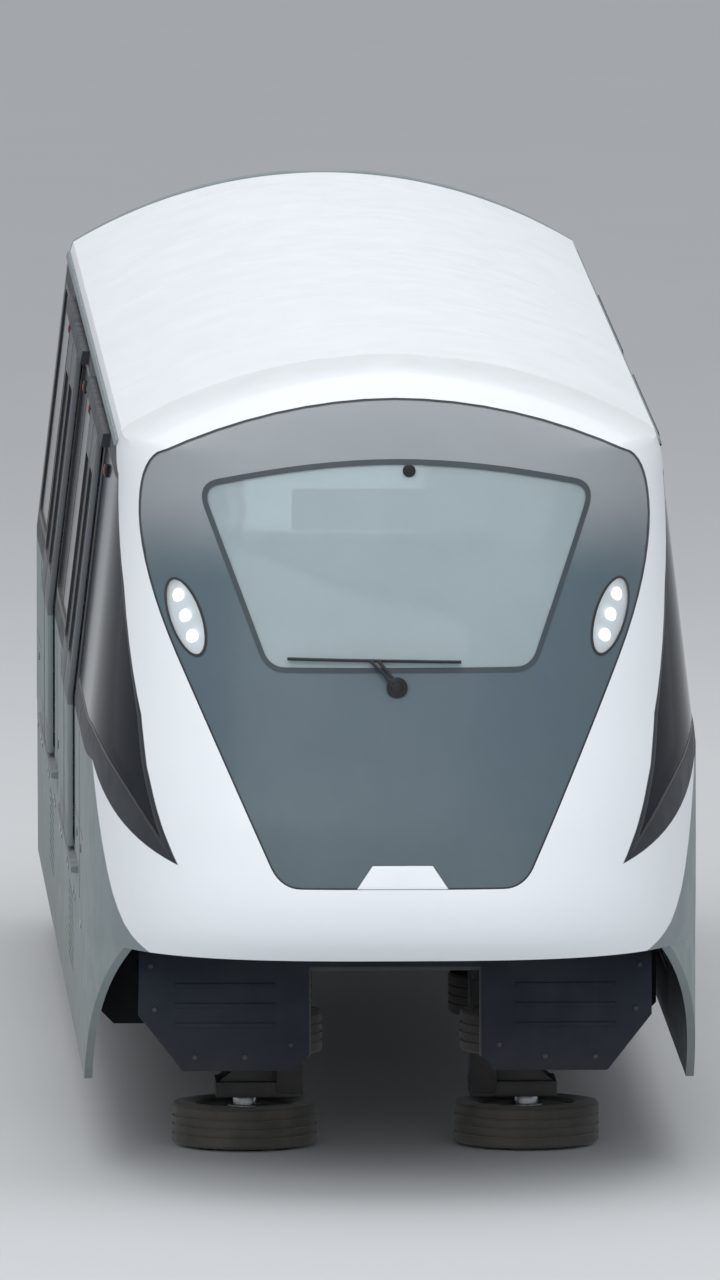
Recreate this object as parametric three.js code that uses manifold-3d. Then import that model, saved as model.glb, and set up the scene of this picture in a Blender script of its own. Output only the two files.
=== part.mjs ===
// End car of a straddle-beam monorail train.
// Millimetres, +Z up, nose towards -Y. The origin is on the running surface of the guide beam,
// in the middle of the car's width and midway between its two wheel axles.
// "left" is the car's own left, which is +X.
import * as THREE from 'three';
import { mergeVertices } from 'three/addons/utils/BufferGeometryUtils.js';
import Module from 'manifold-3d';

const wasm = await Module();
wasm.setup();

// Driving dimensions of the body
const HALF_WIDTH = 1530;
const SILL_Z = 220;
const FLOOR_Z = 440;
const WAIST_Z = 1150;
const CANTRAIL_Z = 2600;
const CANTRAIL_HALF = 1360;
const ROOF_EDGE_Z = 2680;
const ROOF_Z = 3060;
const ROOF_RADIUS = 2535;
const NOSE_Y = -7250;
const NOSE_BASE_Y = -5000;
const NOSE_POWER = 3;
const NOSE_STEPS = 10;
const CAB_END_Y = -4900;
const REAR_Y = 5850;
const END_WALL = 100;
const GAP = 0.3;
const SLACK = 1;

// Thicknesses
const WALL = 90;
const CAB_SHELL = 60;
const ROOF_SHELL = 100;
const SKIRT = 40;

// Depths of the front and back face of what sits in the nose's skin
const MASK_DEPTHS = [3, 43];
const SCREEN_DEPTHS = [6, 24];
const LAMP_DEPTHS = [4, 60];
const COVER_DEPTHS = [-8, 40];
const GLASS_FACE = 5;
const GLASS_BACK = 19;

// Reach of the solids that cut through a side wall or through the nose, and the end of the nose's layers
const WALL_CUT_X = [1100, 1700];
const NOSE_CUT_X = [900, 1700];
const FRONT_CUT_Y = [-7600, -5450];
const LAYER_END_Y = 0;
const HOLLOW_END_Y = 100;
const BEYOND = 10;

// Guide beam and running gear
const BEAM_HALF = 345;
const AXLE_YS = { front: -4550, rear: 4550 };
const LOAD_RADIUS = 525;
const GUIDE_RADIUS = 365;
const GUIDE_Z = -300;
const GUIDE_Y = 850;
const STABILISER_Z = -860;
const SIDE_WHEEL_X = BEAM_HALF + GUIDE_RADIUS;
const PIN_RADIUS = 58;
const BORE_RADIUS = 65;

// Doors and windows
const DOOR_YS = { front: -2300, rear: 2300 };
const DOORWAY_HALF = 750;
const DOORWAY_TOP = 2320;
const LEAF_WIDTH = 780;
const LEAF_BOTTOM = 380;
const LEAF_TOP = 2465;
const LEAF_IN = 8;
const LEAF_OUT = 38;
const LEAF_MEETING = 3;
const WINDOW_BOTTOM = 1250;
const WINDOW_TOP = 2480;
const WINDOW_CORNER = 90;
const FRONT_WINDOW_END = -3300;

const SIDES = { left: 1, right: -1 };

// Nose slices: height, how far the front sits behind the foremost point
const NOSE_SLICES = [
  { z: SILL_Z, setback: 230 },
  { z: 350, setback: 70 },
  { z: 550, setback: 0 },
  { z: 850, setback: 30 },
  { z: WAIST_Z, setback: 120 },
  { z: 1500, setback: 250 },
  { z: 1900, setback: 440 },
  { z: 2300, setback: 670 },
  { z: CANTRAIL_Z, setback: 890 },
  { z: ROOF_EDGE_Z, setback: 960 },
  { z: 2760, setback: 1040 },
  { z: 2840, setback: 1130 },
  { z: 2910, setback: 1230 },
  { z: 2970, setback: 1350 },
  { z: 3020, setback: 1520 },
  { z: 3050, setback: 1750 },
];

// Solids from three.js geometry
function weld(geometry) {
  const bare = geometry.clone();
  bare.deleteAttribute('normal');
  bare.deleteAttribute('uv');
  const merged = mergeVertices(bare, 1e-3);
  const index = merged.index.array;
  const kept = [];
  for (let i = 0; i < index.length; i += 3) {
    const [a, b, c] = [index[i], index[i + 1], index[i + 2]];
    if (a !== b && b !== c && c !== a) {
      kept.push(a, b, c);
    }
  }
  merged.setIndex(kept);
  return merged;
}

function solid(geometry) {
  const welded = weld(geometry);
  return new wasm.Manifold(new wasm.Mesh({
    numProp: 3,
    vertProperties: Float32Array.from(welded.attributes.position.array),
    triVerts: Uint32Array.from(welded.index.array),
  }));
}

function geometryOf(body) {
  const mesh = body.getMesh();
  const geometry = new THREE.BufferGeometry();
  geometry.setAttribute('position', new THREE.BufferAttribute(Float32Array.from(mesh.vertProperties), 3));
  geometry.setIndex(Array.from(mesh.triVerts));
  geometry.computeVertexNormals();
  return geometry;
}

// The same body on the other side of the car's middle plane
function mirrored(geometry) {
  const copy = geometry.clone().applyMatrix4(new THREE.Matrix4().makeScale(-1, 1, 1));
  const index = Array.from(copy.index.array);
  for (let i = 0; i < index.length; i += 3) {
    [index[i], index[i + 1]] = [index[i + 1], index[i]];
  }
  copy.setIndex(index);
  copy.computeVertexNormals();
  return copy;
}

function box(x0, x1, y0, y1, z0, z1) {
  const geometry = new THREE.BoxGeometry(x1 - x0, y1 - y0, z1 - z0);
  geometry.translate((x0 + x1) / 2, (y0 + y1) / 2, (z0 + z1) / 2);
  return solid(geometry);
}

function extruded(points, depth) {
  const shape = new THREE.Shape(points.map(([a, b]) => new THREE.Vector2(a, b)));
  return new THREE.ExtrudeGeometry(shape, { depth, bevelEnabled: false });
}

// Prisms of an outline given as [x, z], [y, z] or [x, y]
function alongY(points, y0, y1) {
  return solid(extruded(points, y1 - y0).rotateX(Math.PI / 2).translate(0, y1, 0));
}

function alongX(points, x0, x1) {
  const turn = new THREE.Matrix4().makeBasis(
    new THREE.Vector3(0, 1, 0),
    new THREE.Vector3(0, 0, 1),
    new THREE.Vector3(1, 0, 0),
  );
  return solid(extruded(points, x1 - x0).applyMatrix4(turn).translate(x0, 0, 0));
}

function alongZ(points, z0, z1) {
  return solid(extruded(points, z1 - z0).translate(0, 0, z0));
}

function uprightCylinder(radius, x, y, z0, z1, sides = 16) {
  const geometry = new THREE.CylinderGeometry(radius, radius, z1 - z0, sides);
  return solid(geometry.rotateX(Math.PI / 2).translate(x, y, (z0 + z1) / 2));
}

function crossCylinder(radius, x0, x1, y, z, sides = 16) {
  const geometry = new THREE.CylinderGeometry(radius, radius, x1 - x0, sides);
  return solid(geometry.rotateZ(Math.PI / 2).translate((x0 + x1) / 2, y, z));
}

function longTube(radius, x, y0, y1, z, sides = 8) {
  const geometry = new THREE.CylinderGeometry(radius, radius, y1 - y0, sides);
  return solid(geometry.translate(x, (y0 + y1) / 2, z));
}

function joined(bodies) {
  return bodies.reduce((sum, body) => sum.add(body));
}

// Outlines
function curvePoints(draw, segments = 4) {
  const shape = new THREE.Shape();
  draw(shape);
  return shape.getPoints(segments).map((p) => [p.x, p.y]);
}

function roundedRectangle(a0, a1, b0, b1, r) {
  return curvePoints((s) => {
    s.moveTo(a0 + r, b0);
    s.lineTo(a1 - r, b0);
    s.quadraticCurveTo(a1, b0, a1, b0 + r);
    s.lineTo(a1, b1 - r);
    s.quadraticCurveTo(a1, b1, a1 - r, b1);
    s.lineTo(a0 + r, b1);
    s.quadraticCurveTo(a0, b1, a0, b1 - r);
    s.lineTo(a0, b0 + r);
    s.quadraticCurveTo(a0, b0, a0 + r, b0);
  }, 3);
}

// Moves every edge of a counter-clockwise outline inwards
function inset(points, distance) {
  const clean = points.filter((p, i) => {
    const q = points[(i + 1) % points.length];
    return Math.hypot(p[0] - q[0], p[1] - q[1]) > 1e-3;
  });
  const edges = clean.map((p, i) => {
    const q = clean[(i + 1) % clean.length];
    const length = Math.hypot(q[0] - p[0], q[1] - p[1]);
    const along = [(q[0] - p[0]) / length, (q[1] - p[1]) / length];
    return { along, start: [p[0] - along[1] * distance, p[1] + along[0] * distance] };
  });
  return edges.map((edge, i) => {
    const last = edges[(i + edges.length - 1) % edges.length];
    const cross = last.along[0] * edge.along[1] - last.along[1] * edge.along[0];
    if (Math.abs(cross) < 1e-6) {
      return edge.start;
    }
    const dx = edge.start[0] - last.start[0];
    const dy = edge.start[1] - last.start[1];
    const t = (dx * edge.along[1] - dy * edge.along[0]) / cross;
    return [last.start[0] + last.along[0] * t, last.start[1] + last.along[1] * t];
  });
}

// Half width of the body's cross section at a height
function halfWidthAt(z) {
  if (z <= WAIST_Z) {
    return HALF_WIDTH;
  }
  if (z <= CANTRAIL_Z) {
    const rise = (z - WAIST_Z) / (CANTRAIL_Z - WAIST_Z);
    return HALF_WIDTH + (CANTRAIL_HALF - HALF_WIDTH) * rise;
  }
  if (z < ROOF_EDGE_Z) {
    const rise = (z - CANTRAIL_Z) / (ROOF_EDGE_Z - CANTRAIL_Z);
    return CANTRAIL_HALF + (halfWidthAt(ROOF_EDGE_Z) - CANTRAIL_HALF) * rise;
  }
  const up = z - (ROOF_Z - ROOF_RADIUS);
  return Math.sqrt(ROOF_RADIUS ** 2 - up ** 2);
}

const ROOF_HEIGHTS = NOSE_SLICES.map((slice) => slice.z).filter((z) => z >= CANTRAIL_Z);

// Cross section from a lower edge up over the roof, as [x, z]
function sectionOutline(bottom, offset = 0) {
  const heights = [bottom, WAIST_Z, ...ROOF_HEIGHTS].filter((z, i, all) => i === 0 || z > all[i - 1]);
  const sunk = (z) => (z >= CANTRAIL_Z ? z - offset : z);
  const right = heights.map((z) => [halfWidthAt(z) - offset, sunk(z)]);
  const left = right.map(([x, z]) => [-x, z]).reverse();
  return [...right, ...left];
}

// Height of the ceiling over a place across the car
function ceilingAt(x) {
  const facets = sectionOutline(CANTRAIL_Z, ROOF_SHELL).filter(([px]) => px > 0);
  const end = facets.findIndex(([px]) => px < x);
  const [x0, z0] = facets[end - 1];
  const [x1, z1] = facets[end];
  return z0 + ((z1 - z0) * (x0 - x)) / (x0 - x1);
}

// Plan of the body at one nose slice: straight sides that round into the front
function planOutline(slice, offset, backY) {
  const half = halfWidthAt(slice.z) - offset;
  const reach = NOSE_BASE_Y - (NOSE_Y + slice.setback + offset);
  const quarter = [];
  for (let step = 0; step <= NOSE_STEPS; step += 1) {
    const turn = (step / NOSE_STEPS) * (Math.PI / 2);
    const x = half * Math.cos(turn) ** (2 / NOSE_POWER);
    const y = NOSE_BASE_Y - reach * Math.sin(turn) ** (2 / NOSE_POWER);
    quarter.push([step === NOSE_STEPS ? 0 : x, y]);
  }
  const other = quarter.slice(0, -1).map(([x, y]) => [-x, y]).reverse();
  return [[-half, backY], [half, backY], ...quarter, ...other].reverse();
}

// The whole nose as one full solid, pulled in by an offset on every side
function noseBlock(offset, backY, bottom = SILL_Z) {
  const slices = NOSE_SLICES.map((slice, i) => {
    const height = slice.z >= CANTRAIL_Z ? slice.z - offset : slice.z;
    return { plan: planOutline(slice, offset, backY), z: i === 0 ? bottom : height };
  });
  if (bottom < SILL_Z) {
    slices.splice(1, 0, { plan: slices[0].plan, z: SILL_Z });
  }
  const count = slices[0].plan.length;
  const positions = slices.flatMap(({ plan, z }) => plan.flatMap(([x, y]) => [x, y, z]));
  const index = [];
  for (let level = 0; level < slices.length - 1; level += 1) {
    for (let i = 0; i < count; i += 1) {
      const a = level * count + i;
      const b = level * count + ((i + 1) % count);
      index.push(a, b, b + count, a, b + count, a + count);
    }
  }
  const top = (slices.length - 1) * count;
  for (let i = 1; i < count - 1; i += 1) {
    index.push(0, i + 1, i);
    index.push(top, top + i, top + i + 1);
  }
  const geometry = new THREE.BufferGeometry();
  geometry.setAttribute('position', new THREE.Float32BufferAttribute(positions, 3));
  geometry.setIndex(index);
  return solid(geometry);
}

// A layer of the nose between two depths, cut out by a prism
function noseLayer([outer, inner], prism) {
  return noseBlock(outer, LAYER_END_Y).intersect(prism).subtract(noseBlock(inner, HOLLOW_END_Y, 0));
}

// Front view outlines, as [x, z]
const MASK_OUTLINE = curvePoints((s) => {
  s.moveTo(-500, 600);
  s.lineTo(500, 600);
  s.quadraticCurveTo(600, 600, 650, 700);
  s.lineTo(1100, 1700);
  s.quadraticCurveTo(1270, 2080, 1275, 2350);
  s.quadraticCurveTo(1275, 2590, 1180, 2655);
  s.quadraticCurveTo(600, 2930, 0, 2930);
  s.quadraticCurveTo(-600, 2930, -1180, 2655);
  s.quadraticCurveTo(-1275, 2590, -1275, 2350);
  s.quadraticCurveTo(-1270, 2080, -1100, 1700);
  s.lineTo(-650, 700);
  s.quadraticCurveTo(-600, 600, -500, 600);
}, 4);

const SCREEN_OUTLINE = curvePoints((s) => {
  s.moveTo(-570, 1660);
  s.lineTo(570, 1660);
  s.quadraticCurveTo(660, 1660, 690, 1750);
  s.lineTo(945, 2420);
  s.quadraticCurveTo(980, 2520, 880, 2540);
  s.quadraticCurveTo(430, 2640, 0, 2640);
  s.quadraticCurveTo(-430, 2640, -880, 2540);
  s.quadraticCurveTo(-980, 2520, -945, 2420);
  s.lineTo(-690, 1750);
  s.quadraticCurveTo(-660, 1660, -570, 1660);
}, 4);

const LAMP_CENTRE = [1055, 1890];
const LAMP_HALF = [82, 190];
const LAMP_LEAN = 0.33;

const LAMP_OUTLINE = curvePoints((s) => {
  s.absellipse(LAMP_CENTRE[0], LAMP_CENTRE[1], LAMP_HALF[0], LAMP_HALF[1], 0, Math.PI * 2, false, -LAMP_LEAN);
}, 12);

const COVER_OUTLINE = [[-230, 601], [230, 601], [150, 720], [-150, 720]];

// Side view outlines of the glazing in the cab and the skirt, as [y, z]
const FRONT_WINDOW_OUTLINE = curvePoints((s) => {
  s.moveTo(-6885, 700);
  s.quadraticCurveTo(-6450, 1180, -5600, WINDOW_BOTTOM);
  s.lineTo(FRONT_WINDOW_END - WINDOW_CORNER, WINDOW_BOTTOM);
  s.quadraticCurveTo(FRONT_WINDOW_END, WINDOW_BOTTOM, FRONT_WINDOW_END, WINDOW_BOTTOM + WINDOW_CORNER);
  s.lineTo(FRONT_WINDOW_END, WINDOW_TOP - WINDOW_CORNER);
  s.quadraticCurveTo(FRONT_WINDOW_END, WINDOW_TOP, FRONT_WINDOW_END - WINDOW_CORNER, WINDOW_TOP);
  s.lineTo(-5400, WINDOW_TOP);
  s.quadraticCurveTo(-6060, 1930, -6460, 1400);
  s.lineTo(-6885, 700);
}, 6);

const SKIRT_BOTTOM = -570;
const SKIRT_OUTLINE = [
  [-6350, SILL_Z - GAP],
  [-5150, SKIRT_BOTTOM],
  [5700, SKIRT_BOTTOM],
  [REAR_Y, SILL_Z - GAP],
];

function frontPrism(points) {
  return alongY(points, ...FRONT_CUT_Y);
}

// Scene
const car = new THREE.Group();

function finish(colour, roughness, metalness) {
  return new THREE.MeshStandardMaterial({ color: colour, roughness, metalness });
}

const looks = {
  white: () => finish(0xeef1f4, 0.35, 0.1),
  silver: () => finish(0x9aa3a6, 0.4, 0.5),
  mask: () => finish(0x5c686e, 0.2, 0.1),
  glass: () => finish(0x3a4147, 0.08, 0.0),
  lamp: () => finish(0xf6f8fa, 0.1, 0.0),
  dark: () => finish(0x22262c, 0.6, 0.3),
  rubber: () => finish(0x1b1c1e, 0.85, 0.0),
  grey: () => finish(0x8d9296, 0.7, 0.0),
  seat: () => finish(0x39566b, 0.7, 0.0),
  steel: () => finish(0xb9bdc0, 0.3, 0.9),
};

function place(name, geometry, look, parent = car, position = [0, 0, 0]) {
  const mesh = new THREE.Mesh(geometry, looks[look]());
  mesh.name = name;
  mesh.position.set(...position);
  parent.add(mesh);
  return mesh;
}

// Adds a piece that is modelled on the left, and its mirror image on the right
function placePair(name, body, look) {
  const geometry = geometryOf(body);
  place(`${name}_left`, geometry, look);
  place(`${name}_right`, mirrored(geometry), look);
}

// Underframe with the floor, two wheel wells and the bracket of the drawbar
const WELL = { halfX: 640, halfY: 660, top: 600 };
const DRAWBAR_Y = 5600;
const DRAWBAR_PIN = { radius: 28, bottom: 45, top: 180 };
const BRACKET = { halfX: 120, front: 120, back: 100, bottom: 175, sunk: 10 };

function buildUnderframe() {
  const cabFloor = noseBlock(CAB_SHELL + GAP, CAB_END_Y - GAP, 0)
    .intersect(box(-HALF_WIDTH, HALF_WIDTH, NOSE_Y, CAB_END_Y, SILL_Z, FLOOR_Z));
  const half = HALF_WIDTH - WALL - GAP;
  let frame = cabFloor.add(box(-half, half, CAB_END_Y - 1, REAR_Y - GAP, SILL_Z, FLOOR_Z));
  for (const axleY of Object.values(AXLE_YS)) {
    const well = box(-WELL.halfX, WELL.halfX, axleY - WELL.halfY, axleY + WELL.halfY, 0, WELL.top);
    frame = frame.subtract(well);
  }
  const bracket = box(
    -BRACKET.halfX, BRACKET.halfX, DRAWBAR_Y - BRACKET.front, DRAWBAR_Y + BRACKET.back,
    BRACKET.bottom, SILL_Z + BRACKET.sunk,
  );
  const pin = uprightCylinder(DRAWBAR_PIN.radius, 0, DRAWBAR_Y, DRAWBAR_PIN.bottom, DRAWBAR_PIN.top, 12);
  place('underframe', geometryOf(joined([frame, bracket, pin])), 'dark');
}

// Covers over the load tyres, with a seat built against them
const HOUSING = { halfX: 700, halfY: 720, top: 1150, chamfer: 60, wall: 60, endWall: 80 };
const SEAT = {
  depth: 450, lean: 80, height: 880, back: 1380, backThickness: 90, backLean: 40, rear: 800, overlap: 20,
};

function buildWheelHousings() {
  const h = HOUSING;
  const arch = [
    [-h.halfY, FLOOR_Z + GAP], [h.halfY, FLOOR_Z + GAP], [h.halfY, h.top - h.chamfer],
    [h.halfY - h.chamfer, h.top], [h.chamfer - h.halfY, h.top], [-h.halfY, h.top - h.chamfer],
  ];
  const hollow = box(
    h.wall - h.halfX, h.halfX - h.wall, h.endWall - h.halfY, h.halfY - h.endWall, 0, h.top - h.wall,
  );
  const cover = alongX(arch, -h.halfX, h.halfX).subtract(hollow);
  const seat = (direction) => {
    const near = h.halfY - SEAT.overlap;
    const far = h.halfY + SEAT.depth;
    const points = [
      [near, FLOOR_Z + GAP], [far - SEAT.lean, FLOOR_Z + GAP], [far, SEAT.height],
      [near + SEAT.backThickness, SEAT.height], [near, SEAT.back],
      [near - SEAT.backLean, SEAT.back], [near - SEAT.backLean, SEAT.rear],
    ].map(([y, z]) => [y * direction, z]);
    return alongX(direction > 0 ? points : points.reverse(), -h.halfX, h.halfX);
  };
  const front = joined([cover, seat(1), seat(-1)]);
  const rear = joined([cover, seat(-1)]);
  place('wheel_housing_front', geometryOf(front), 'seat', car, [0, AXLE_YS.front, 0]);
  place('wheel_housing_rear', geometryOf(rear), 'seat', car, [0, AXLE_YS.rear, 0]);
}

// Saloon side walls in a lower and an upper part, with two doorways, the windows and the door rails
const RAIL = { top: 2560, bottom: 2490, out: 44, taper: 6, sunk: 5, reach: 1600 };
const MID_WINDOW = [-1400, 1400];
const REAR_WINDOW = [3200, 5600];

function doorRail(doorY) {
  return alongY([
    [halfWidthAt(RAIL.bottom) - RAIL.sunk, RAIL.bottom],
    [halfWidthAt(RAIL.bottom) + RAIL.out, RAIL.bottom],
    [halfWidthAt(RAIL.top) + RAIL.out - RAIL.taper, RAIL.top],
    [halfWidthAt(RAIL.top) - RAIL.sunk, RAIL.top],
  ], doorY - RAIL.reach, doorY + RAIL.reach);
}

function windowHole([y0, y1]) {
  return alongX(roundedRectangle(y0, y1, WINDOW_BOTTOM, WINDOW_TOP, WINDOW_CORNER), ...WALL_CUT_X);
}

function buildSideWalls() {
  const doorYs = Object.values(DOOR_YS);
  const doorways = joined(doorYs.map((doorY) => (
    box(...WALL_CUT_X, doorY - DOORWAY_HALF, doorY + DOORWAY_HALF, FLOOR_Z, DOORWAY_TOP)
  )));
  const lower = box(HALF_WIDTH - WALL, HALF_WIDTH, CAB_END_Y, REAR_Y - GAP, SILL_Z, WAIST_Z - GAP);
  placePair('lower_wall', lower.subtract(doorways), 'silver');

  const section = [
    [HALF_WIDTH, WAIST_Z], [CANTRAIL_HALF, CANTRAIL_Z - GAP],
    [CANTRAIL_HALF - WALL, CANTRAIL_Z - GAP], [HALF_WIDTH - WALL, WAIST_Z],
  ];
  const upper = alongY(section, CAB_END_Y, REAR_Y - GAP)
    .subtract(doorways)
    .subtract(windowHole(MID_WINDOW))
    .subtract(windowHole(REAR_WINDOW))
    .subtract(alongX(FRONT_WINDOW_OUTLINE, ...WALL_CUT_X));
  placePair('upper_wall', joined([upper, ...doorYs.map(doorRail)]), 'silver');
}

function windowPane([y0, y1]) {
  const face = (z, depth) => [halfWidthAt(z) - depth, z];
  const sheet = [
    face(WINDOW_BOTTOM, GLASS_FACE), face(WINDOW_TOP, GLASS_FACE),
    face(WINDOW_TOP, GLASS_BACK), face(WINDOW_BOTTOM, GLASS_BACK),
  ];
  const outline = inset(roundedRectangle(y0, y1, WINDOW_BOTTOM, WINDOW_TOP, WINDOW_CORNER), SLACK);
  return alongY(sheet, y0, y1).intersect(alongX(outline, ...WALL_CUT_X));
}

function buildWindows() {
  placePair('mid_window', windowPane(MID_WINDOW), 'glass');
  placePair('rear_window', windowPane(REAR_WINDOW), 'glass');
  const outline = inset(FRONT_WINDOW_OUTLINE, SLACK);
  const pane = noseLayer([GLASS_FACE, GLASS_BACK], alongX(outline, ...NOSE_CUT_X));
  placePair('front_window', pane, 'glass');
}

function buildRoof() {
  const outer = alongY(sectionOutline(CANTRAIL_Z), CAB_END_Y, REAR_Y - GAP);
  const inner = alongY(sectionOutline(CANTRAIL_Z, ROOF_SHELL), CAB_END_Y - BEYOND, REAR_Y + BEYOND);
  place('roof_shell', geometryOf(outer.subtract(inner)), 'white');
}

function buildCabShell() {
  const glassHole = alongX(FRONT_WINDOW_OUTLINE, ...NOSE_CUT_X);
  const shell = noseBlock(0, CAB_END_Y - GAP)
    .subtract(noseBlock(CAB_SHELL, HOLLOW_END_Y, 0))
    .subtract(frontPrism(MASK_OUTLINE))
    .subtract(glassHole)
    .subtract(solid(mirrored(geometryOf(glassHole))));
  place('cab_shell', geometryOf(shell), 'white');
}

// Dark front mask with its windscreen, two lamps and the coupler cover
function buildMask() {
  const lamp = frontPrism(LAMP_OUTLINE);
  const otherLamp = solid(mirrored(geometryOf(lamp)));
  const mask = noseLayer(MASK_DEPTHS, frontPrism(inset(MASK_OUTLINE, SLACK)))
    .subtract(frontPrism(SCREEN_OUTLINE))
    .subtract(lamp)
    .subtract(otherLamp)
    .subtract(frontPrism(COVER_OUTLINE));
  place('nose_mask', geometryOf(mask), 'mask');
  const screen = noseLayer(SCREEN_DEPTHS, frontPrism(inset(SCREEN_OUTLINE, SLACK)));
  place('windscreen', geometryOf(screen), 'glass');
  placePair('headlamp', noseLayer(LAMP_DEPTHS, frontPrism(inset(LAMP_OUTLINE, SLACK))), 'lamp');
  const cover = noseLayer(COVER_DEPTHS, frontPrism(inset(COVER_OUTLINE, SLACK)));
  place('coupler_cover', geometryOf(cover), 'white');
}

// Rear end: a wall with the gangway opening, and half of the bellows between two cars
const GANGWAY = { half: 550, top: 2420, corner: 120 };
const BELLOWS_FOLDS = 5;
const BELLOWS_FOLD = 60;
const BELLOWS_OUT = 60;
const BELLOWS_IN = 85;
const BELLOWS_INNER = 140;
const BELLOWS_BOTTOM = SILL_Z + 40;

function buildRearEnd() {
  const wall = alongY(sectionOutline(SILL_Z), REAR_Y, REAR_Y + END_WALL);
  const opening = curvePoints((s) => {
    s.moveTo(-GANGWAY.half, FLOOR_Z);
    s.lineTo(GANGWAY.half, FLOOR_Z);
    s.lineTo(GANGWAY.half, GANGWAY.top - GANGWAY.corner);
    s.quadraticCurveTo(GANGWAY.half, GANGWAY.top, GANGWAY.half - GANGWAY.corner, GANGWAY.top);
    s.lineTo(GANGWAY.corner - GANGWAY.half, GANGWAY.top);
    s.quadraticCurveTo(-GANGWAY.half, GANGWAY.top, -GANGWAY.half, GANGWAY.top - GANGWAY.corner);
  }, 3);
  const hole = alongY(opening, REAR_Y - BEYOND, REAR_Y + END_WALL + BEYOND);
  place('rear_end_wall', geometryOf(wall.subtract(hole)), 'silver');

  const start = REAR_Y + END_WALL + GAP;
  const folds = [];
  for (let fold = 0; fold < BELLOWS_FOLDS; fold += 1) {
    const depth = fold % 2 === 0 ? BELLOWS_OUT : BELLOWS_IN;
    const from = start + fold * BELLOWS_FOLD;
    folds.push(alongY(inset(sectionOutline(BELLOWS_BOTTOM), depth), from, from + BELLOWS_FOLD));
  }
  const end = start + BELLOWS_FOLDS * BELLOWS_FOLD;
  const hollow = alongY(inset(sectionOutline(BELLOWS_BOTTOM), BELLOWS_INNER), start - BEYOND, end + BEYOND);
  place('gangway_bellows', geometryOf(joined(folds).subtract(hollow)), 'grey');
}

// Skirts hang under the side walls and follow the plan of the nose
function buildSkirts() {
  const sill = NOSE_SLICES[0];
  const low = SKIRT_BOTTOM - BEYOND;
  const plan = (offset) => alongZ(planOutline(sill, offset, REAR_Y - GAP), low, SILL_Z - GAP);
  const strip = alongX(SKIRT_OUTLINE, ...NOSE_CUT_X);
  placePair('side_skirt', plan(0).subtract(plan(SKIRT)).intersect(strip), 'silver');
}

// Dark panel under the nose, open round the beam
const APRON = {
  y: -6100, thickness: 70, half: 1280, bottom: -430, kneeZ: -150, toeIn: 220,
  notchHalf: 430, notchTop: 90, footOut: 60, footRise: 80,
};

function buildApron() {
  const a = APRON;
  const top = SILL_Z - GAP;
  const points = [
    [-a.half, top], [-a.half, a.kneeZ], [-a.half + a.toeIn, a.bottom],
    [-a.notchHalf - a.footOut, a.bottom], [-a.notchHalf, a.bottom + a.footRise],
    [-a.notchHalf, a.notchTop], [a.notchHalf, a.notchTop], [a.notchHalf, a.bottom + a.footRise],
    [a.notchHalf + a.footOut, a.bottom], [a.half - a.toeIn, a.bottom],
    [a.half, a.kneeZ], [a.half, top],
  ];
  place('front_apron', geometryOf(alongY(points, a.y, a.y + a.thickness)), 'dark');
}

// Closed equipment on both sides of the beam, under the floor
const CASE = {
  inner: 560, outer: 1430, bottom: -540, innerChamfer: 120, outerChamfer: 100, halfLength: 2950,
};

function buildEquipment() {
  const c = CASE;
  const top = SILL_Z - GAP;
  const points = [
    [c.inner, top], [c.inner, c.bottom + c.innerChamfer], [c.inner + c.innerChamfer, c.bottom],
    [c.outer - c.outerChamfer, c.bottom], [c.outer, c.bottom + c.outerChamfer], [c.outer, top],
  ];
  placePair('equipment_case', alongY(points, -c.halfLength, c.halfLength), 'dark');
}

// Console under the windscreen with its lid
const CONSOLE = { half: 950, backY: -6350, top: 1480, clearance: 15 };
const LID = { half: 430, frontY: -6680, backY: -6370, thickness: 20, clearance: 6 };

function buildConsole() {
  const block = noseBlock(CAB_SHELL + CONSOLE.clearance, CAB_END_Y, 0)
    .intersect(box(-CONSOLE.half, CONSOLE.half, NOSE_Y, CONSOLE.backY, FLOOR_Z + GAP, CONSOLE.top));
  place('front_console', geometryOf(block), 'grey');
  const z = CONSOLE.top + LID.clearance;
  const lid = box(-LID.half, LID.half, LID.frontY, LID.backY, z, z + LID.thickness);
  place('console_lid', geometryOf(lid), 'dark');
}

// Benches between the doors
const BENCH = {
  edgeX: 1000, edgeZ: 850, rootZ: 820, top: 900, backTop: 1130, backThickness: 60, backLean: 30,
  halfLength: 1350,
};
const BENCH_LEG = { innerX: 1080, half: 30, top: 860, ys: [-1200, 0, 1200] };

function buildBenches() {
  const b = BENCH;
  const wallX = HALF_WIDTH - WALL - GAP;
  const backX = wallX - b.backThickness;
  const profile = [
    [b.edgeX, b.edgeZ], [wallX, b.rootZ], [wallX, b.backTop], [backX, b.backTop],
    [backX - b.backLean, b.top], [b.edgeX, b.top],
  ];
  const parts = [alongY(profile, -b.halfLength, b.halfLength)];
  const leg = BENCH_LEG;
  for (const y of leg.ys) {
    parts.push(box(leg.innerX, wallX, y - leg.half, y + leg.half, FLOOR_Z + GAP, leg.top));
  }
  placePair('bench', joined(parts), 'seat');
}

// Grab poles with a long rail on each side of the aisle
const POLES = { x: 700, railZ: 2250, radius: 18, railHalf: 3150, clearance: 1, ys: [-3090, 0, 3090] };

function buildGrabRails() {
  const ceilingZ = ceilingAt(POLES.x + POLES.radius) - POLES.clearance;
  const rail = longTube(POLES.radius, POLES.x, -POLES.railHalf, POLES.railHalf, POLES.railZ);
  const poles = POLES.ys.map((y) => (
    uprightCylinder(POLES.radius, POLES.x, y, FLOOR_Z + GAP, ceilingZ, 8)
  ));
  placePair('grab_rail', joined([rail, ...poles]), 'steel');
}

// Drawbar towards the next car, turning on an upright pin
const DRAWBAR = { half: 55, eye: 70, end: 6230, bottom: 60, top: 150, bore: 35 };
const FLANGE = { half: 130, front: 6210, back: 6250, bottom: 30, top: 190 };

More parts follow.
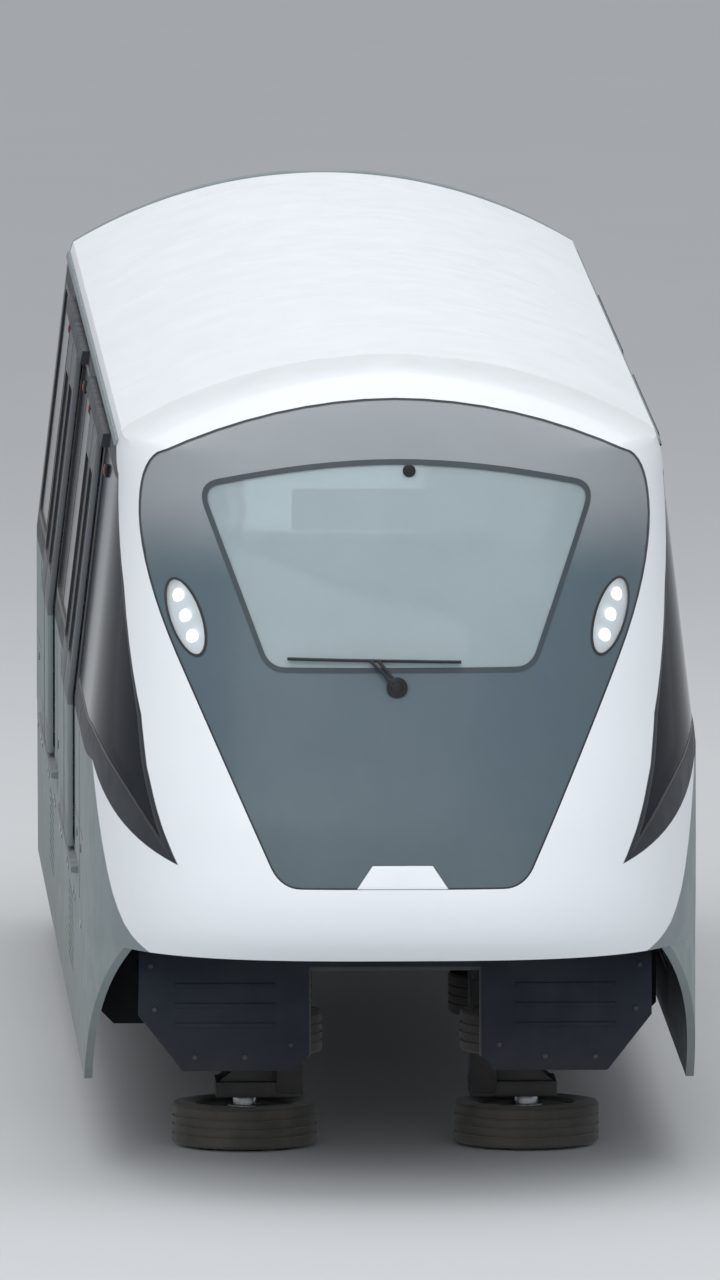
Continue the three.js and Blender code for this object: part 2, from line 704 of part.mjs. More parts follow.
function buildDrawbar() {
  const d = DRAWBAR;
  const bar = box(-d.half, d.half, DRAWBAR_Y - d.eye, d.end, d.bottom, d.top);
  const flange = box(-FLANGE.half, FLANGE.half, FLANGE.front, FLANGE.back, FLANGE.bottom, FLANGE.top);
  const bore = uprightCylinder(d.bore, 0, DRAWBAR_Y, 0, FLANGE.top, 12);
  place('drawbar', geometryOf(joined([bar, flange]).subtract(bore)), 'dark');
}

// Left half of the bogie frame as seen from its own axle: boxes as x0, x1, y0, y1, z0, z1
const BOGIE_BOXES = {
  sideBeam: [400, 560, -1050, 1050, -40, 140],
  axlePedestal: [400, 560, -150, 150, 100, 650],
  leg: [420, 560, -300, 300, -700, 0],
  foot: [420, 900, -180, 180, -720, -640],
  springArm: [550, 1250, -220, 220, -160, -40],
};
const GUIDE_ARM = { innerX: 400, outerX: 820, half: 120, bottom: -40, top: 80 };
const GUIDE_PIN = { bottom: -400, top: 0 };
const STABILISER_PIN = { bottom: -960, top: -700 };
const AIR_SPRING = { x: 1040, radius: 190, bottom: -60, top: 205 };
const CROSS_BEAM = { halfX: 500, y: 720, half: 100, bottom: 30, top: 140 };
const AXLE_BORE = { radius: 66, halfX: 700 };

function bogieSide() {
  const arm = GUIDE_ARM;
  const spring = AIR_SPRING;
  const parts = Object.values(BOGIE_BOXES).map((corners) => box(...corners));
  parts.push(uprightCylinder(PIN_RADIUS, SIDE_WHEEL_X, 0, STABILISER_PIN.bottom, STABILISER_PIN.top));
  parts.push(uprightCylinder(spring.radius, spring.x, 0, spring.bottom, spring.top, 20));
  for (const y of [-GUIDE_Y, GUIDE_Y]) {
    parts.push(box(arm.innerX, arm.outerX, y - arm.half, y + arm.half, arm.bottom, arm.top));
    parts.push(uprightCylinder(PIN_RADIUS, SIDE_WHEEL_X, y, GUIDE_PIN.bottom, GUIDE_PIN.top));
  }
  return joined(parts);
}

function bogieFrame() {
  const beam = CROSS_BEAM;
  const side = bogieSide();
  const other = solid(mirrored(geometryOf(side)));
  const cross = [-beam.y, beam.y].map((y) => (
    box(-beam.halfX, beam.halfX, y - beam.half, y + beam.half, beam.bottom, beam.top)
  ));
  const bore = crossCylinder(AXLE_BORE.radius, -AXLE_BORE.halfX, AXLE_BORE.halfX, 0, LOAD_RADIUS);
  return joined([side, other, ...cross]).subtract(bore);
}

// Wheel profiles, as [radius, place along the axle]
function lathed(profile, segments) {
  return new THREE.LatheGeometry(profile.map(([r, h]) => new THREE.Vector2(r, h)), segments);
}

const LOAD_HALF = [
  [0, -600], [PIN_RADIUS, -600], [PIN_RADIUS, -300], [325, -290], [345, -328],
  [480, -322], [LOAD_RADIUS, -285], [LOAD_RADIUS, -60], [490, -22], [400, -14],
];

function loadWheelPair() {
  const other = LOAD_HALF.map(([r, h]) => [r, -h]).reverse();
  return geometryOf(solid(lathed([...LOAD_HALF, ...other], 28).rotateZ(-Math.PI / 2)));
}

const SIDE_TYRE_HALF = [
  [BORE_RADIUS, -70], [232, -70], [238, -105], [325, -110], [GUIDE_RADIUS, -80],
];

function sideWheel() {
  const other = SIDE_TYRE_HALF.map(([r, h]) => [r, -h]).reverse();
  const ring = [...SIDE_TYRE_HALF, ...other, SIDE_TYRE_HALF[0]];
  return geometryOf(solid(lathed(ring, 16).rotateX(Math.PI / 2)));
}

// Current collector behind a leg of the rear bogie: boxes as x0, x1, y0, y1, z0, z1
const COLLECTOR_ARM = [420, 540, 300 + GAP, 460, -560, -510];
const COLLECTOR_SHOE = [BEAM_HALF + 6, 440, 330, 460, -575, -495];

function collector() {
  return joined([box(...COLLECTOR_ARM), box(...COLLECTOR_SHOE)]);
}

function buildBogies() {
  const frame = geometryOf(bogieFrame());
  const pair = loadWheelPair();
  const wheel = sideWheel();
  for (const [end, axleY] of Object.entries(AXLE_YS)) {
    const bogie = new THREE.Group();
    bogie.position.set(0, axleY, 0);
    car.add(bogie);
    place(`bogie_frame_${end}`, frame, 'dark', bogie);
    place(`load_wheels_${end}`, pair, 'rubber', bogie, [0, 0, LOAD_RADIUS]);
    for (const [word, sign] of Object.entries(SIDES)) {
      const x = sign * SIDE_WHEEL_X;
      place(`guide_wheel_${end}_${word}_1`, wheel, 'rubber', bogie, [x, -GUIDE_Y, GUIDE_Z]);
      place(`guide_wheel_${end}_${word}_2`, wheel, 'rubber', bogie, [x, GUIDE_Y, GUIDE_Z]);
      place(`stabiliser_wheel_${end}_${word}`, wheel, 'rubber', bogie, [x, 0, STABILISER_Z]);
    }
    if (end === 'rear') {
      const shoe = geometryOf(collector());
      place('collector_left', shoe, 'steel', bogie);
      place('collector_right', mirrored(shoe), 'steel', bogie);
    }
  }
}

// Door leaves that hang outside the walls; leaf 1 is the one nearer the nose
const DOOR_PANE = { near: 130, far: 650, bottom: 1300, top: 2280, corner: 70, cutX: [1300, 1700] };

function doorLeaf() {
  const points = [
    [halfWidthAt(LEAF_BOTTOM) + LEAF_IN, LEAF_BOTTOM],
    [halfWidthAt(LEAF_BOTTOM) + LEAF_OUT, LEAF_BOTTOM],
    [halfWidthAt(WAIST_Z) + LEAF_OUT, WAIST_Z],
    [halfWidthAt(LEAF_TOP) + LEAF_OUT, LEAF_TOP],
    [halfWidthAt(LEAF_TOP) + LEAF_IN, LEAF_TOP],
    [halfWidthAt(WAIST_Z) + LEAF_IN, WAIST_Z],
  ];
  const p = DOOR_PANE;
  const pane = alongX(roundedRectangle(p.near, p.far, p.bottom, p.top, p.corner), ...p.cutX);
  return alongY(points, LEAF_MEETING, LEAF_WIDTH).subtract(pane);
}

function turnedAbout(geometry) {
  return mirrored(geometry).rotateZ(Math.PI);
}

function buildDoors() {
  const second = geometryOf(doorLeaf());
  const first = turnedAbout(second);
  for (const [end, doorY] of Object.entries(DOOR_YS)) {
    place(`door_leaf_${end}_left_1`, first, 'silver', car, [0, doorY, 0]);
    place(`door_leaf_${end}_left_2`, second, 'silver', car, [0, doorY, 0]);
    place(`door_leaf_${end}_right_1`, mirrored(first), 'silver', car, [0, doorY, 0]);
    place(`door_leaf_${end}_right_2`, mirrored(second), 'silver', car, [0, doorY, 0]);
  }
}

buildUnderframe();
buildWheelHousings();
buildSideWalls();
buildRoof();
buildCabShell();
buildMask();
buildWindows();
buildRearEnd();
buildSkirts();
buildApron();
buildEquipment();
buildConsole();
buildBenches();
buildGrabRails();
buildDrawbar();
buildBogies();
buildDoors();

export default car;
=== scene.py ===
# End car of a straddle-beam monorail train.
# Metres, +Z up, nose towards -Y; "left" is the car's own left, which is +X.
import math

import bmesh
import bpy
from mathutils import Matrix, Vector


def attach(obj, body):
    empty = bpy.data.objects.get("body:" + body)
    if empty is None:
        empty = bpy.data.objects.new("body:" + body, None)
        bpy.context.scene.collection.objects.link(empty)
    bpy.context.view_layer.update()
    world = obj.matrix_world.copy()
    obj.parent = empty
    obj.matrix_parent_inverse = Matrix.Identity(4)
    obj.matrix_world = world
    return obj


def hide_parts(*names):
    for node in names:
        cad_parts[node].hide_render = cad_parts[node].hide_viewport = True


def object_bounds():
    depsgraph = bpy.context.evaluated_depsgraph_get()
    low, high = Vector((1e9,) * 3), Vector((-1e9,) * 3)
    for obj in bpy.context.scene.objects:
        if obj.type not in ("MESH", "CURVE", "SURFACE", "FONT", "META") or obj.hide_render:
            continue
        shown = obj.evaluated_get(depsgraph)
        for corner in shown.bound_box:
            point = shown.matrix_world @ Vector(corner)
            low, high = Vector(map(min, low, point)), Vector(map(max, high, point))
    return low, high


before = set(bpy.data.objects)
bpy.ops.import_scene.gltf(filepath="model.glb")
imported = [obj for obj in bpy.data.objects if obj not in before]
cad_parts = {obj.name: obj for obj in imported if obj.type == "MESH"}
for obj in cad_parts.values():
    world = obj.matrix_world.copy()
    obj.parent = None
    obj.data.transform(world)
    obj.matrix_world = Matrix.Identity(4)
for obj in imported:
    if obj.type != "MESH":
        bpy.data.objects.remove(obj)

CAD_LOW, CAD_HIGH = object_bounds()
SCENE = bpy.context.scene
CAR = "car_body"
SIDES = {"left": 1, "right": -1}
BOTH = (-1, 1)

# Body dimensions
HALF_WIDTH = 1.53
SILL_Z = 0.22
FLOOR_Z = 0.44
WAIST_Z = 1.15
CANTRAIL_Z = 2.6
CANTRAIL_HALF = 1.36
ROOF_EDGE_Z = 2.68
ROOF_Z = 3.05
ROOF_RADIUS = 2.593
ROOF_CENTRE_Z = ROOF_Z - ROOF_RADIUS
ROOF_EDGE_HALF = math.sqrt(ROOF_RADIUS**2 - (ROOF_EDGE_Z - ROOF_CENTRE_Z) ** 2)
NOSE_Y = -7.25
NOSE_BASE_Y = -5.0
CAB_END_Y = -4.9
REAR_Y = 5.85
END_WALL = 0.1
WALL_Y = REAR_Y + END_WALL
WALL_THICK = 0.09
GAP = 0.0003
SKIRT_BOTTOM = -0.57
SKIRT_THICK = 0.04
BAND_BOTTOM = 1.1
SEAM_HALF = 0.004

# Running gear
AXLE_YS = {"front": -4.55, "rear": 4.55}
LOAD_RADIUS = 0.525
GUIDE_RADIUS = 0.365
GUIDE_Z = -0.3
GUIDE_Y = 0.85
STABILISER_Z = -0.86
SIDE_WHEEL_X = 0.71

# Doors and windows; a window is its ends, bottom, top and corner radius
DOOR_YS = {"front": -2.3, "rear": 2.3}
LEAF_IN = 0.008
WINDOW_BOTTOM = 1.25
WINDOW_TOP = 2.48
WINDOW_CORNER = 0.09
FRONT_WINDOW_END = -3.3
WALL_WINDOWS = [(y0, y1, WINDOW_BOTTOM, WINDOW_TOP, WINDOW_CORNER) for y0, y1 in ((-1.4, 1.4), (3.2, 5.6))]
LEAF_WINDOW = (0.13, 0.65, 1.3, 2.28, 0.07)

# Nose: height, how far the front sits behind the foremost point
NOSE_SETBACKS = [
    (0.22, 0.23), (0.35, 0.07), (0.55, 0.0), (0.85, 0.03), (1.15, 0.12), (1.5, 0.25),
    (1.9, 0.44), (2.3, 0.67), (2.6, 0.89), (2.68, 0.96), (2.76, 1.04), (2.84, 1.13),
    (2.91, 1.23), (2.97, 1.35), (3.02, 1.52), (3.05, 1.75),
]
NOSE_STEPS = 30


# Outlines
def curved(start, *moves, steps=8):
    """Points of an outline: a move is a point, or a control point and an end point."""
    points = [start]
    for move in moves:
        if len(move) == 2:
            points.append(move)
            continue
        cx, cy, ex, ey = move
        sx, sy = points[-1]
        for i in range(1, steps + 1):
            t = i / steps
            a, b, c = (1 - t) ** 2, 2 * t * (1 - t), t * t
            points.append((a * sx + b * cx + c * ex, a * sy + b * cy + c * ey))
    clean = []
    for p in points:
        if not clean or math.dist(p, clean[-1]) > 1e-5:
            clean.append(p)
    if math.dist(clean[0], clean[-1]) < 1e-5:
        clean.pop()
    return clean


def rounded(a0, a1, b0, b1, r):
    return curved(
        (a0 + r, b0), (a1 - r, b0), (a1, b0, a1, b0 + r), (a1, b1 - r), (a1, b1, a1 - r, b1),
        (a0 + r, b1), (a0, b1, a0, b1 - r), (a0, b0 + r), (a0, b0, a0 + r, b0), steps=6,
    )


def grown(points, distance):
    """A counter-clockwise outline with every edge moved outwards."""
    edges = []
    for p, q in zip(points, points[1:] + points[:1]):
        length = math.dist(p, q)
        ux, uy = (q[0] - p[0]) / length, (q[1] - p[1]) / length
        edges.append(((ux, uy), (p[0] + uy * distance, p[1] - ux * distance)))
    moved_points = []
    for i, (along, start) in enumerate(edges):
        last_along, last_start = edges[i - 1]
        cross = last_along[0] * along[1] - last_along[1] * along[0]
        if abs(cross) < 1e-6:
            moved_points.append(start)
            continue
        dx, dy = start[0] - last_start[0], start[1] - last_start[1]
        t = (dx * along[1] - dy * along[0]) / cross
        moved_points.append((last_start[0] + last_along[0] * t, last_start[1] + last_along[1] * t))
    return moved_points


def thickened(path, thickness):
    """A closed outline round an open path, with the thickness on its right."""
    shifted = []
    for i, p in enumerate(path):
        a, b = path[max(i - 1, 0)], path[min(i + 1, len(path) - 1)]
        length = math.dist(a, b)
        dx, dy = (b[0] - a[0]) / length, (b[1] - a[1]) / length
        shifted.append((p[0] + dy * thickness, p[1] - dx * thickness))
    return [*path, *shifted[::-1]]


def half_width_at(z):
    if z <= WAIST_Z:
        return HALF_WIDTH
    if z <= CANTRAIL_Z:
        rise = (z - WAIST_Z) / (CANTRAIL_Z - WAIST_Z)
        return HALF_WIDTH + (CANTRAIL_HALF - HALF_WIDTH) * rise
    if z < ROOF_EDGE_Z:
        rise = (z - CANTRAIL_Z) / (ROOF_EDGE_Z - CANTRAIL_Z)
        return CANTRAIL_HALF + (ROOF_EDGE_HALF - CANTRAIL_HALF) * rise
    return max(0.1, math.sqrt(max(0.0, ROOF_RADIUS**2 - (z - ROOF_CENTRE_Z) ** 2)))


def monotone(table):
    """A smooth curve through a table of (place, value) that never overshoots."""
    xs, ys = zip(*table)
    slopes = [(ys[i + 1] - ys[i]) / (xs[i + 1] - xs[i]) for i in range(len(xs) - 1)]
    inner = [0.0 if a * b <= 0 else 2 * a * b / (a + b) for a, b in zip(slopes, slopes[1:])]
    tangents = [slopes[0], *inner, slopes[-1]]

    def value(x):
        i = sum(1 for edge in xs[1:-1] if x > edge)
        h = xs[i + 1] - xs[i]
        t = (x - xs[i]) / h
        return (
            (2 * t**3 - 3 * t**2 + 1) * ys[i] + (t**3 - 2 * t**2 + t) * h * tangents[i]
            + (3 * t**2 - 2 * t**3) * ys[i + 1] + (t**3 - t**2) * h * tangents[i + 1]
        )

    return value


setback_at = monotone(NOSE_SETBACKS)


def nose_reach(z, offset=0.0):
    """How far the nose stands out of the straight body at a height."""
    return NOSE_BASE_Y - (NOSE_Y + setback_at(z) + offset)


def front_y(x, z, offset=0.0):
    """Where the nose's skin is, looking at it from the front."""
    half = half_width_at(z) - offset
    return NOSE_BASE_Y - nose_reach(z, offset) * max(0.0, 1 - (abs(x) / half) ** 3) ** (1 / 3)


def body_plan(z, offset, back_y):
    """The body's outline from above, at one height and pulled in by an offset."""
    half, reach = half_width_at(z) - offset, nose_reach(z, offset)
    quarter = []
    for step in range(NOSE_STEPS):
        turn = step / NOSE_STEPS * math.pi / 2
        quarter.append((half * math.cos(turn) ** (2 / 3), NOSE_BASE_Y - reach * math.sin(turn) ** (2 / 3)))
    tip = (0.0, NOSE_BASE_Y - reach)
    return [(-half, back_y), (half, back_y), *quarter, tip, *[(-x, y) for x, y in quarter[::-1]]]


def roof_profile(offset=0.0, count=44):
    """The roof's cross section from the left cantrail to the right one."""
    side, radius = CANTRAIL_HALF - offset, ROOF_RADIUS - offset
    edge = math.asin(ROOF_EDGE_HALF / ROOF_RADIUS)
    arc = []
    for i in range(count + 1):
        turn = edge - 2 * edge * i / count
        arc.append((radius * math.sin(turn), ROOF_CENTRE_Z + radius * math.cos(turn)))
    return [(side, CANTRAIL_Z - offset), *arc, (-side, CANTRAIL_Z - offset)]


def ceiling_z(x, depth):
    return ROOF_CENTRE_Z + math.sqrt((ROOF_RADIUS - depth) ** 2 - x**2)


def tyre_profile(radius, half, bead, crown, groove_count, groove=0.009):
    """One tyre from bead to bead over its grooved tread, as (radius, place)."""
    shoulder = radius - crown
    edge = half * 0.82
    side = [(bead, -half * 0.78), (bead + 0.012, -half * 0.9)]
    for i in range(6):
        bulge = 0.93 + 0.07 * math.sin(i / 5 * math.pi)
        side.append((bead + 0.03 + (shoulder - bead - 0.03) * i / 5, -half * bulge))
    side.append((radius - crown * 0.35, -half * 0.93))
    tread = [(radius, -edge)]
    for g in range(1, groove_count + 1):
        centre = -edge + g * 2 * edge / (groove_count + 1)
        for dx, dr in ((-groove, 0), (-groove * 0.6, -0.011), (groove * 0.6, -0.011), (groove, 0)):
            tread.append((radius + dr, centre + dx))
    tread.append((radius, edge))
    return [*side, *tread, *[(r, -h) for r, h in side[::-1]]]


# Front view outlines, as (x, z)
MASK = curved(
    (-0.5, 0.6), (0.5, 0.6), (0.6, 0.6, 0.65, 0.7), (1.1, 1.7), (1.27, 2.08, 1.275, 2.35),
    (1.275, 2.59, 1.18, 2.655), (0.6, 2.93, 0, 2.93), (-0.6, 2.93, -1.18, 2.655),
    (-1.275, 2.59, -1.275, 2.35), (-1.27, 2.08, -1.1, 1.7), (-0.65, 0.7), (-0.6, 0.6, -0.5, 0.6),
)
SCREEN = curved(
    (-0.57, 1.66), (0.57, 1.66), (0.66, 1.66, 0.69, 1.75), (0.945, 2.42), (0.98, 2.52, 0.88, 2.54),
    (0.43, 2.64, 0, 2.64), (-0.43, 2.64, -0.88, 2.54), (-0.98, 2.52, -0.945, 2.42), (-0.69, 1.75),
    (-0.66, 1.66, -0.57, 1.66),
)
COVER = [(-0.23, 0.601), (0.23, 0.601), (0.15, 0.72), (-0.15, 0.72)]
LAMP_CENTRE = (1.055, 1.89)
LAMP_HALF = (0.082, 0.19)
LAMP_LEAN = 0.33
LAMP_STEPS = 40


def lamp_outline(shrink=0.0):
    points = []
    for i in range(LAMP_STEPS):
        turn = 2 * math.pi * i / LAMP_STEPS
        a = (LAMP_HALF[0] - shrink) * math.cos(turn)
        b = (LAMP_HALF[1] - shrink) * math.sin(turn)
        points.append((
            LAMP_CENTRE[0] + a * math.cos(LAMP_LEAN) + b * math.sin(LAMP_LEAN),
            LAMP_CENTRE[1] - a * math.sin(LAMP_LEAN) + b * math.cos(LAMP_LEAN),
        ))
    return points


# Side view outlines, as (y, z)
FRONT_WINDOW = curved(
    (-6.885, 0.7), (-6.45, 1.18, -5.6, WINDOW_BOTTOM),
    (FRONT_WINDOW_END - WINDOW_CORNER, WINDOW_BOTTOM),
    (FRONT_WINDOW_END, WINDOW_BOTTOM, FRONT_WINDOW_END, WINDOW_BOTTOM + WINDOW_CORNER),
    (FRONT_WINDOW_END, WINDOW_TOP - WINDOW_CORNER),
    (FRONT_WINDOW_END, WINDOW_TOP, FRONT_WINDOW_END - WINDOW_CORNER, WINDOW_TOP),
    (-5.4, WINDOW_TOP), (-6.06, 1.93, -6.46, 1.4), (-6.885, 0.7), steps=12,
)
SKIRT = [(-6.35, SILL_Z - GAP), (-5.15, SKIRT_BOTTOM), (5.7, SKIRT_BOTTOM), (REAR_Y, SILL_Z - GAP)]


# Shapes
AXIS_TURNS = {
    "z": Matrix(), "x": Matrix.Rotation(math.pi / 2, 4, "Y"), "y": Matrix.Rotation(-math.pi / 2, 4, "X"),
}


def moved(bm, matrix):
    bmesh.ops.transform(bm, matrix=matrix, verts=bm.verts)
    if matrix.determinant() < 0:
        bmesh.ops.reverse_faces(bm, faces=bm.faces)
    return bm


def on_side(bm, sign):
    """A left part, mirrored if it is wanted on the right."""
    return moved(bm, Matrix.Diagonal((sign, 1, 1, 1)))


def loft(rings):
    """A closed solid through rings of the same number of points."""
    bm = bmesh.new()
    cap = bm.faces.new([bm.verts.new(p) for p in rings[0]])
    inside = []
    for ring in rings[1:]:
        grew = bmesh.ops.extrude_face_region(bm, geom=[cap])
        inside.append(cap)
        cap = next(g for g in grew["geom"] if isinstance(g, bmesh.types.BMFace))
        for vert, place in zip(cap.verts, ring):
            vert.co = place
    bmesh.ops.delete(bm, geom=inside[1:], context="FACES_ONLY")
    bmesh.ops.recalc_face_normals(bm, faces=bm.faces)
    return bm


def prism(points, axis, low, high):
    """An outline pushed along x, y or z; the outline is (y, z), (x, z) or (x, y)."""
    place = {
        "x": lambda a, b, c: (c, a, b),
        "y": lambda a, b, c: (a, c, b),
        "z": lambda a, b, c: (a, b, c),
    }[axis]
    return loft([[place(a, b, c) for a, b in points] for c in (low, high)])


def block(x0, x1, y0, y1, z0, z1, bevel=0.0, segments=2):
    bm = bmesh.new()
    bmesh.ops.create_cube(bm, size=1)
    bmesh.ops.scale(bm, vec=(x1 - x0, y1 - y0, z1 - z0), verts=bm.verts)
    bmesh.ops.translate(bm, vec=((x0 + x1) / 2, (y0 + y1) / 2, (z0 + z1) / 2), verts=bm.verts)
    return softened(bm, bevel, segments=segments)


def softened(bm, width, degrees=40, segments=2):
    """A solid with its edges bevelled where they turn by more than an angle."""
    sharp = [e for e in bm.edges if e.is_manifold and e.calc_face_angle() > math.radians(degrees)]
    if width:
        bmesh.ops.bevel(
            bm, geom=sharp, offset=width, affect="EDGES", segments=segments, profile=0.5,
            material=-1, clamp_overlap=True,
        )
    return bm


def lathe(profile, axis, centre, steps=64, closed=True):
    """A ring or disc spun from (radius, place along the axis) points."""
    bm = bmesh.new()
    if closed:
        profile = [*profile, profile[0]]
    verts = [bm.verts.new((r, 0, h)) for r, h in profile]
    edges = [bm.edges.new(pair) for pair in zip(verts, verts[1:])]
    bmesh.ops.spin(
        bm, geom=verts + edges, axis=(0, 0, 1), cent=(0, 0, 0), angle=2 * math.pi, steps=steps,
        use_merge=True,
    )
    bmesh.ops.remove_doubles(bm, verts=bm.verts, dist=1e-5)
    moved(bm, Matrix.Translation(centre) @ AXIS_TURNS[axis])
    bmesh.ops.recalc_face_normals(bm, faces=bm.faces)
    return bm


def disc(radius, height, axis, centre, sides=24, bevel=0.0, top=None):
    """A short closed cylinder, or a cone's frustum, centred on a point."""
    bm = bmesh.new()
    bmesh.ops.create_cone(
        bm, cap_ends=True, segments=sides, radius1=radius, radius2=radius if top is None else top,
        depth=height,
    )
    return moved(softened(bm, bevel, 50), Matrix.Translation(centre) @ AXIS_TURNS[axis])


def nut(radius, height, axis, centre, bevel=0.002):
    return disc(radius, height, axis, centre, 6, bevel)


def nut_circle(radius, count, axis, centre, size, height, phase=0.0, bevel=0.0012):
    nuts = []
    for k in range(count):
        turn = 2 * math.pi * k / count + phase
        u, v = radius * math.cos(turn), radius * math.sin(turn)
        place = (0, u, v) if axis == "x" else (u, v, 0)
        nuts.append(nut(size, height, axis, tuple(a + b for a, b in zip(centre, place)), bevel))
    return nuts


def tube(points, radius, sides=10):
    """A round bar along a path."""
    path = [Vector(p) for p in points]
    across = (path[1] - path[0]).orthogonal()
    turns = [2 * math.pi * k / sides for k in range(sides)]
    rings = []
    for i, p in enumerate(path):
        along = (path[min(i + 1, len(path) - 1)] - path[max(i - 1, 0)]).normalized()
        across = (across - along * across.dot(along)).normalized()
        up = along.cross(across)
        rings.append([p + radius * (across * math.cos(t) + up * math.sin(t)) for t in turns])
    return loft(rings)


def merged(parts):
    """Several solids in one mesh."""
    whole = bmesh.new()
    for part in parts:
        mesh = bpy.data.meshes.new("part")
        part.to_mesh(mesh)
        part.free()
        whole.from_mesh(mesh)
        bpy.data.meshes.remove(mesh)
    return whole


def new_object(name, bm):
    mesh = bpy.data.meshes.new(name)
    bm.to_mesh(mesh)
    bm.free()
    made = bpy.data.objects.new(name, mesh)
    SCENE.collection.objects.link(made)
    return made


def carved(bm, *cutters, inside=None):
    """Keeps what lies inside one solid, if there is one, and cuts the others away."""
    target = new_object("carving", bm)
    steps = [] if inside is None else [("INTERSECT", inside)]
    for action, solid in steps + [("DIFFERENCE", cutter) for cutter in cutters]:
        tool = new_object("cutter", solid)
        modifier = target.modifiers.new("carve", "BOOLEAN")
        modifier.operation = action
        modifier.solver = "MANIFOLD"
        modifier.object = tool
        graph = bpy.context.evaluated_depsgraph_get()
        result = bpy.data.meshes.new_from_object(target.evaluated_get(graph))
        target.modifiers.clear()
        old = target.data
        target.data = result
        bpy.data.meshes.remove(old)
        bpy.data.objects.remove(tool)
    result = bmesh.new()
    result.from_mesh(target.data)
    bpy.data.objects.remove(target)
    return result


def side_prism(points, sign=1):
    """A solid through one side of the car, from its side view."""
    return on_side(prism(points, "x", 0.9, 1.7), sign)


def hoop(outer, inner, y0, y1):
    """What lies between two cross sections, over a length of the car."""
    return carved(prism(outer, "y", y0, y1), prism(inner, "y", y0 - 0.01, y1 + 0.01))


def seam_cutter(section, y, depth):
    return hoop(grown(section, 0.02), grown(section, -depth), y - SEAM_HALF, y + SEAM_HALF)


def strip(y0, y1, z0, z1, outer, inner):
    """A sheet along the left side of the body, between two distances from its surface."""
    zs = [z0, WAIST_Z, z1] if z0 < WAIST_Z < z1 else [z0, z1]
    section = [(half_width_at(z) + inner, z) for z in zs]
    section += [(half_width_at(z) + outer, z) for z in reversed(zs)]
    return prism(section, "y", y0, y1)


def window_part(window, outer, inner, out, into=None):
    """A pane in the side, or its seal if into says how far it laps the pane."""
    y0, y1, z0, z1 = window[:4]
    outline = rounded(*window)
    hole = [] if into is None else [side_prism(grown(outline, -into))]
    sheet = strip(y0 - 0.1, y1 + 0.1, z0 - 0.05, z1 + 0.05, outer, inner)
    return carved(sheet, *hole, inside=side_prism(grown(outline, out)))


def piece(name, parts, look, body=CAR, replaces=None, smooth=35, slot=None, sign=1):
    """A named piece of one or several parts; sign -1 mirrors them."""
    made = new_object(name, on_side(merged(parts) if isinstance(parts, list) else parts, sign))
    made.data.shade_smooth()
    made.data.set_sharp_from_angle(angle=math.radians(smooth))
    made.data.materials.clear()
    made.data.materials.append(look)
    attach(made, body)
    if replaces:
        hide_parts(replaces)


def sided(side, name, parts, look, replaces=None, in_place=False, **options):
    """A piece that both sides have, under names that end in left and right.

    The parts are the left's and mirrored for the right, unless they are in place already.
    """
    gone = f"{replaces}_{side}" if replaces else None
    piece(f"{name}_{side}", parts, look, replaces=gone, sign=1 if in_place else SIDES[side], **options)


# Shader nodes
def linear(red, green, blue):
    """A colour as seen on a screen, 0 to 255, as the shader wants it."""
    def channel(v):
        v /= 255
        return v / 12.92 if v <= 0.04045 else ((v + 0.055) / 1.055) ** 2.4
    return (channel(red), channel(green), channel(blue), 1)


def plug(tree, socket, value):
    if isinstance(value, bpy.types.NodeSocket):
        tree.links.new(value, socket)
    else:
        socket.default_value = value


def node(tree, kind, inputs, **settings):
    """Makes a shader node; its inputs go by number or name. Returns its outputs."""
    made = tree.nodes.new("ShaderNode" + kind)
    for key, value in settings.items():
        setattr(made, key, value)
    for key, value in inputs.items():
        plug(tree, made.inputs[key], value)
    return made.outputs


class Shading:
    """Short calls for the nodes of one tree."""

    def __init__(self, tree):
        self.tree = tree

    def math(self, operation, a, b, clamp=False):
        return node(self.tree, "Math", {0: a, 1: b}, operation=operation, use_clamp=clamp)[0]

    def plus(self, a, b, clamp=False):
        return self.math("ADD", a, b, clamp)

    def minus(self, a, b):
        return self.math("SUBTRACT", a, b)

    def times(self, a, b, clamp=False):
        return self.math("MULTIPLY", a, b, clamp)

    def ramp(self, value, low, high, to_low=0.0, to_high=1.0, kind="SMOOTHSTEP"):
        inputs = {0: value, 1: low, 2: high, 3: to_low, 4: to_high}
        return node(self.tree, "MapRange", inputs, interpolation_type=kind)[0]

    def mix(self, factor, a, b):
        return node(self.tree, "Mix", {0: factor, 6: a, 7: b}, data_type="RGBA")[2]

    def noise(self, place, scale, detail, roughness=0.5):
        inputs = {"Vector": place, "Scale": scale, "Detail": detail, "Roughness": roughness}
        return node(self.tree, "TexNoise", inputs)[0]

    def cells(self, place, scale):
        return node(self.tree, "TexVoronoi", {"Vector": place, "Scale": scale})[0]


def shader_group(name, inputs, outputs):
    """A group; an input is its kind, or a number's default value."""
    tree = bpy.data.node_groups.new(name, "ShaderNodeTree")
    for label, value in inputs.items():
        kind = value if isinstance(value, str) else "Float"
        socket = tree.interface.new_socket(label, in_out="INPUT", socket_type="NodeSocket" + kind)
        if kind == "Float":
            socket.default_value = value
    for label, kind in outputs.items():
        tree.interface.new_socket(label, in_out="OUTPUT", socket_type="NodeSocket" + kind)
    return Shading(tree), tree.nodes.new("NodeGroupInput").outputs, tree.nodes.new("NodeGroupOutput").inputs


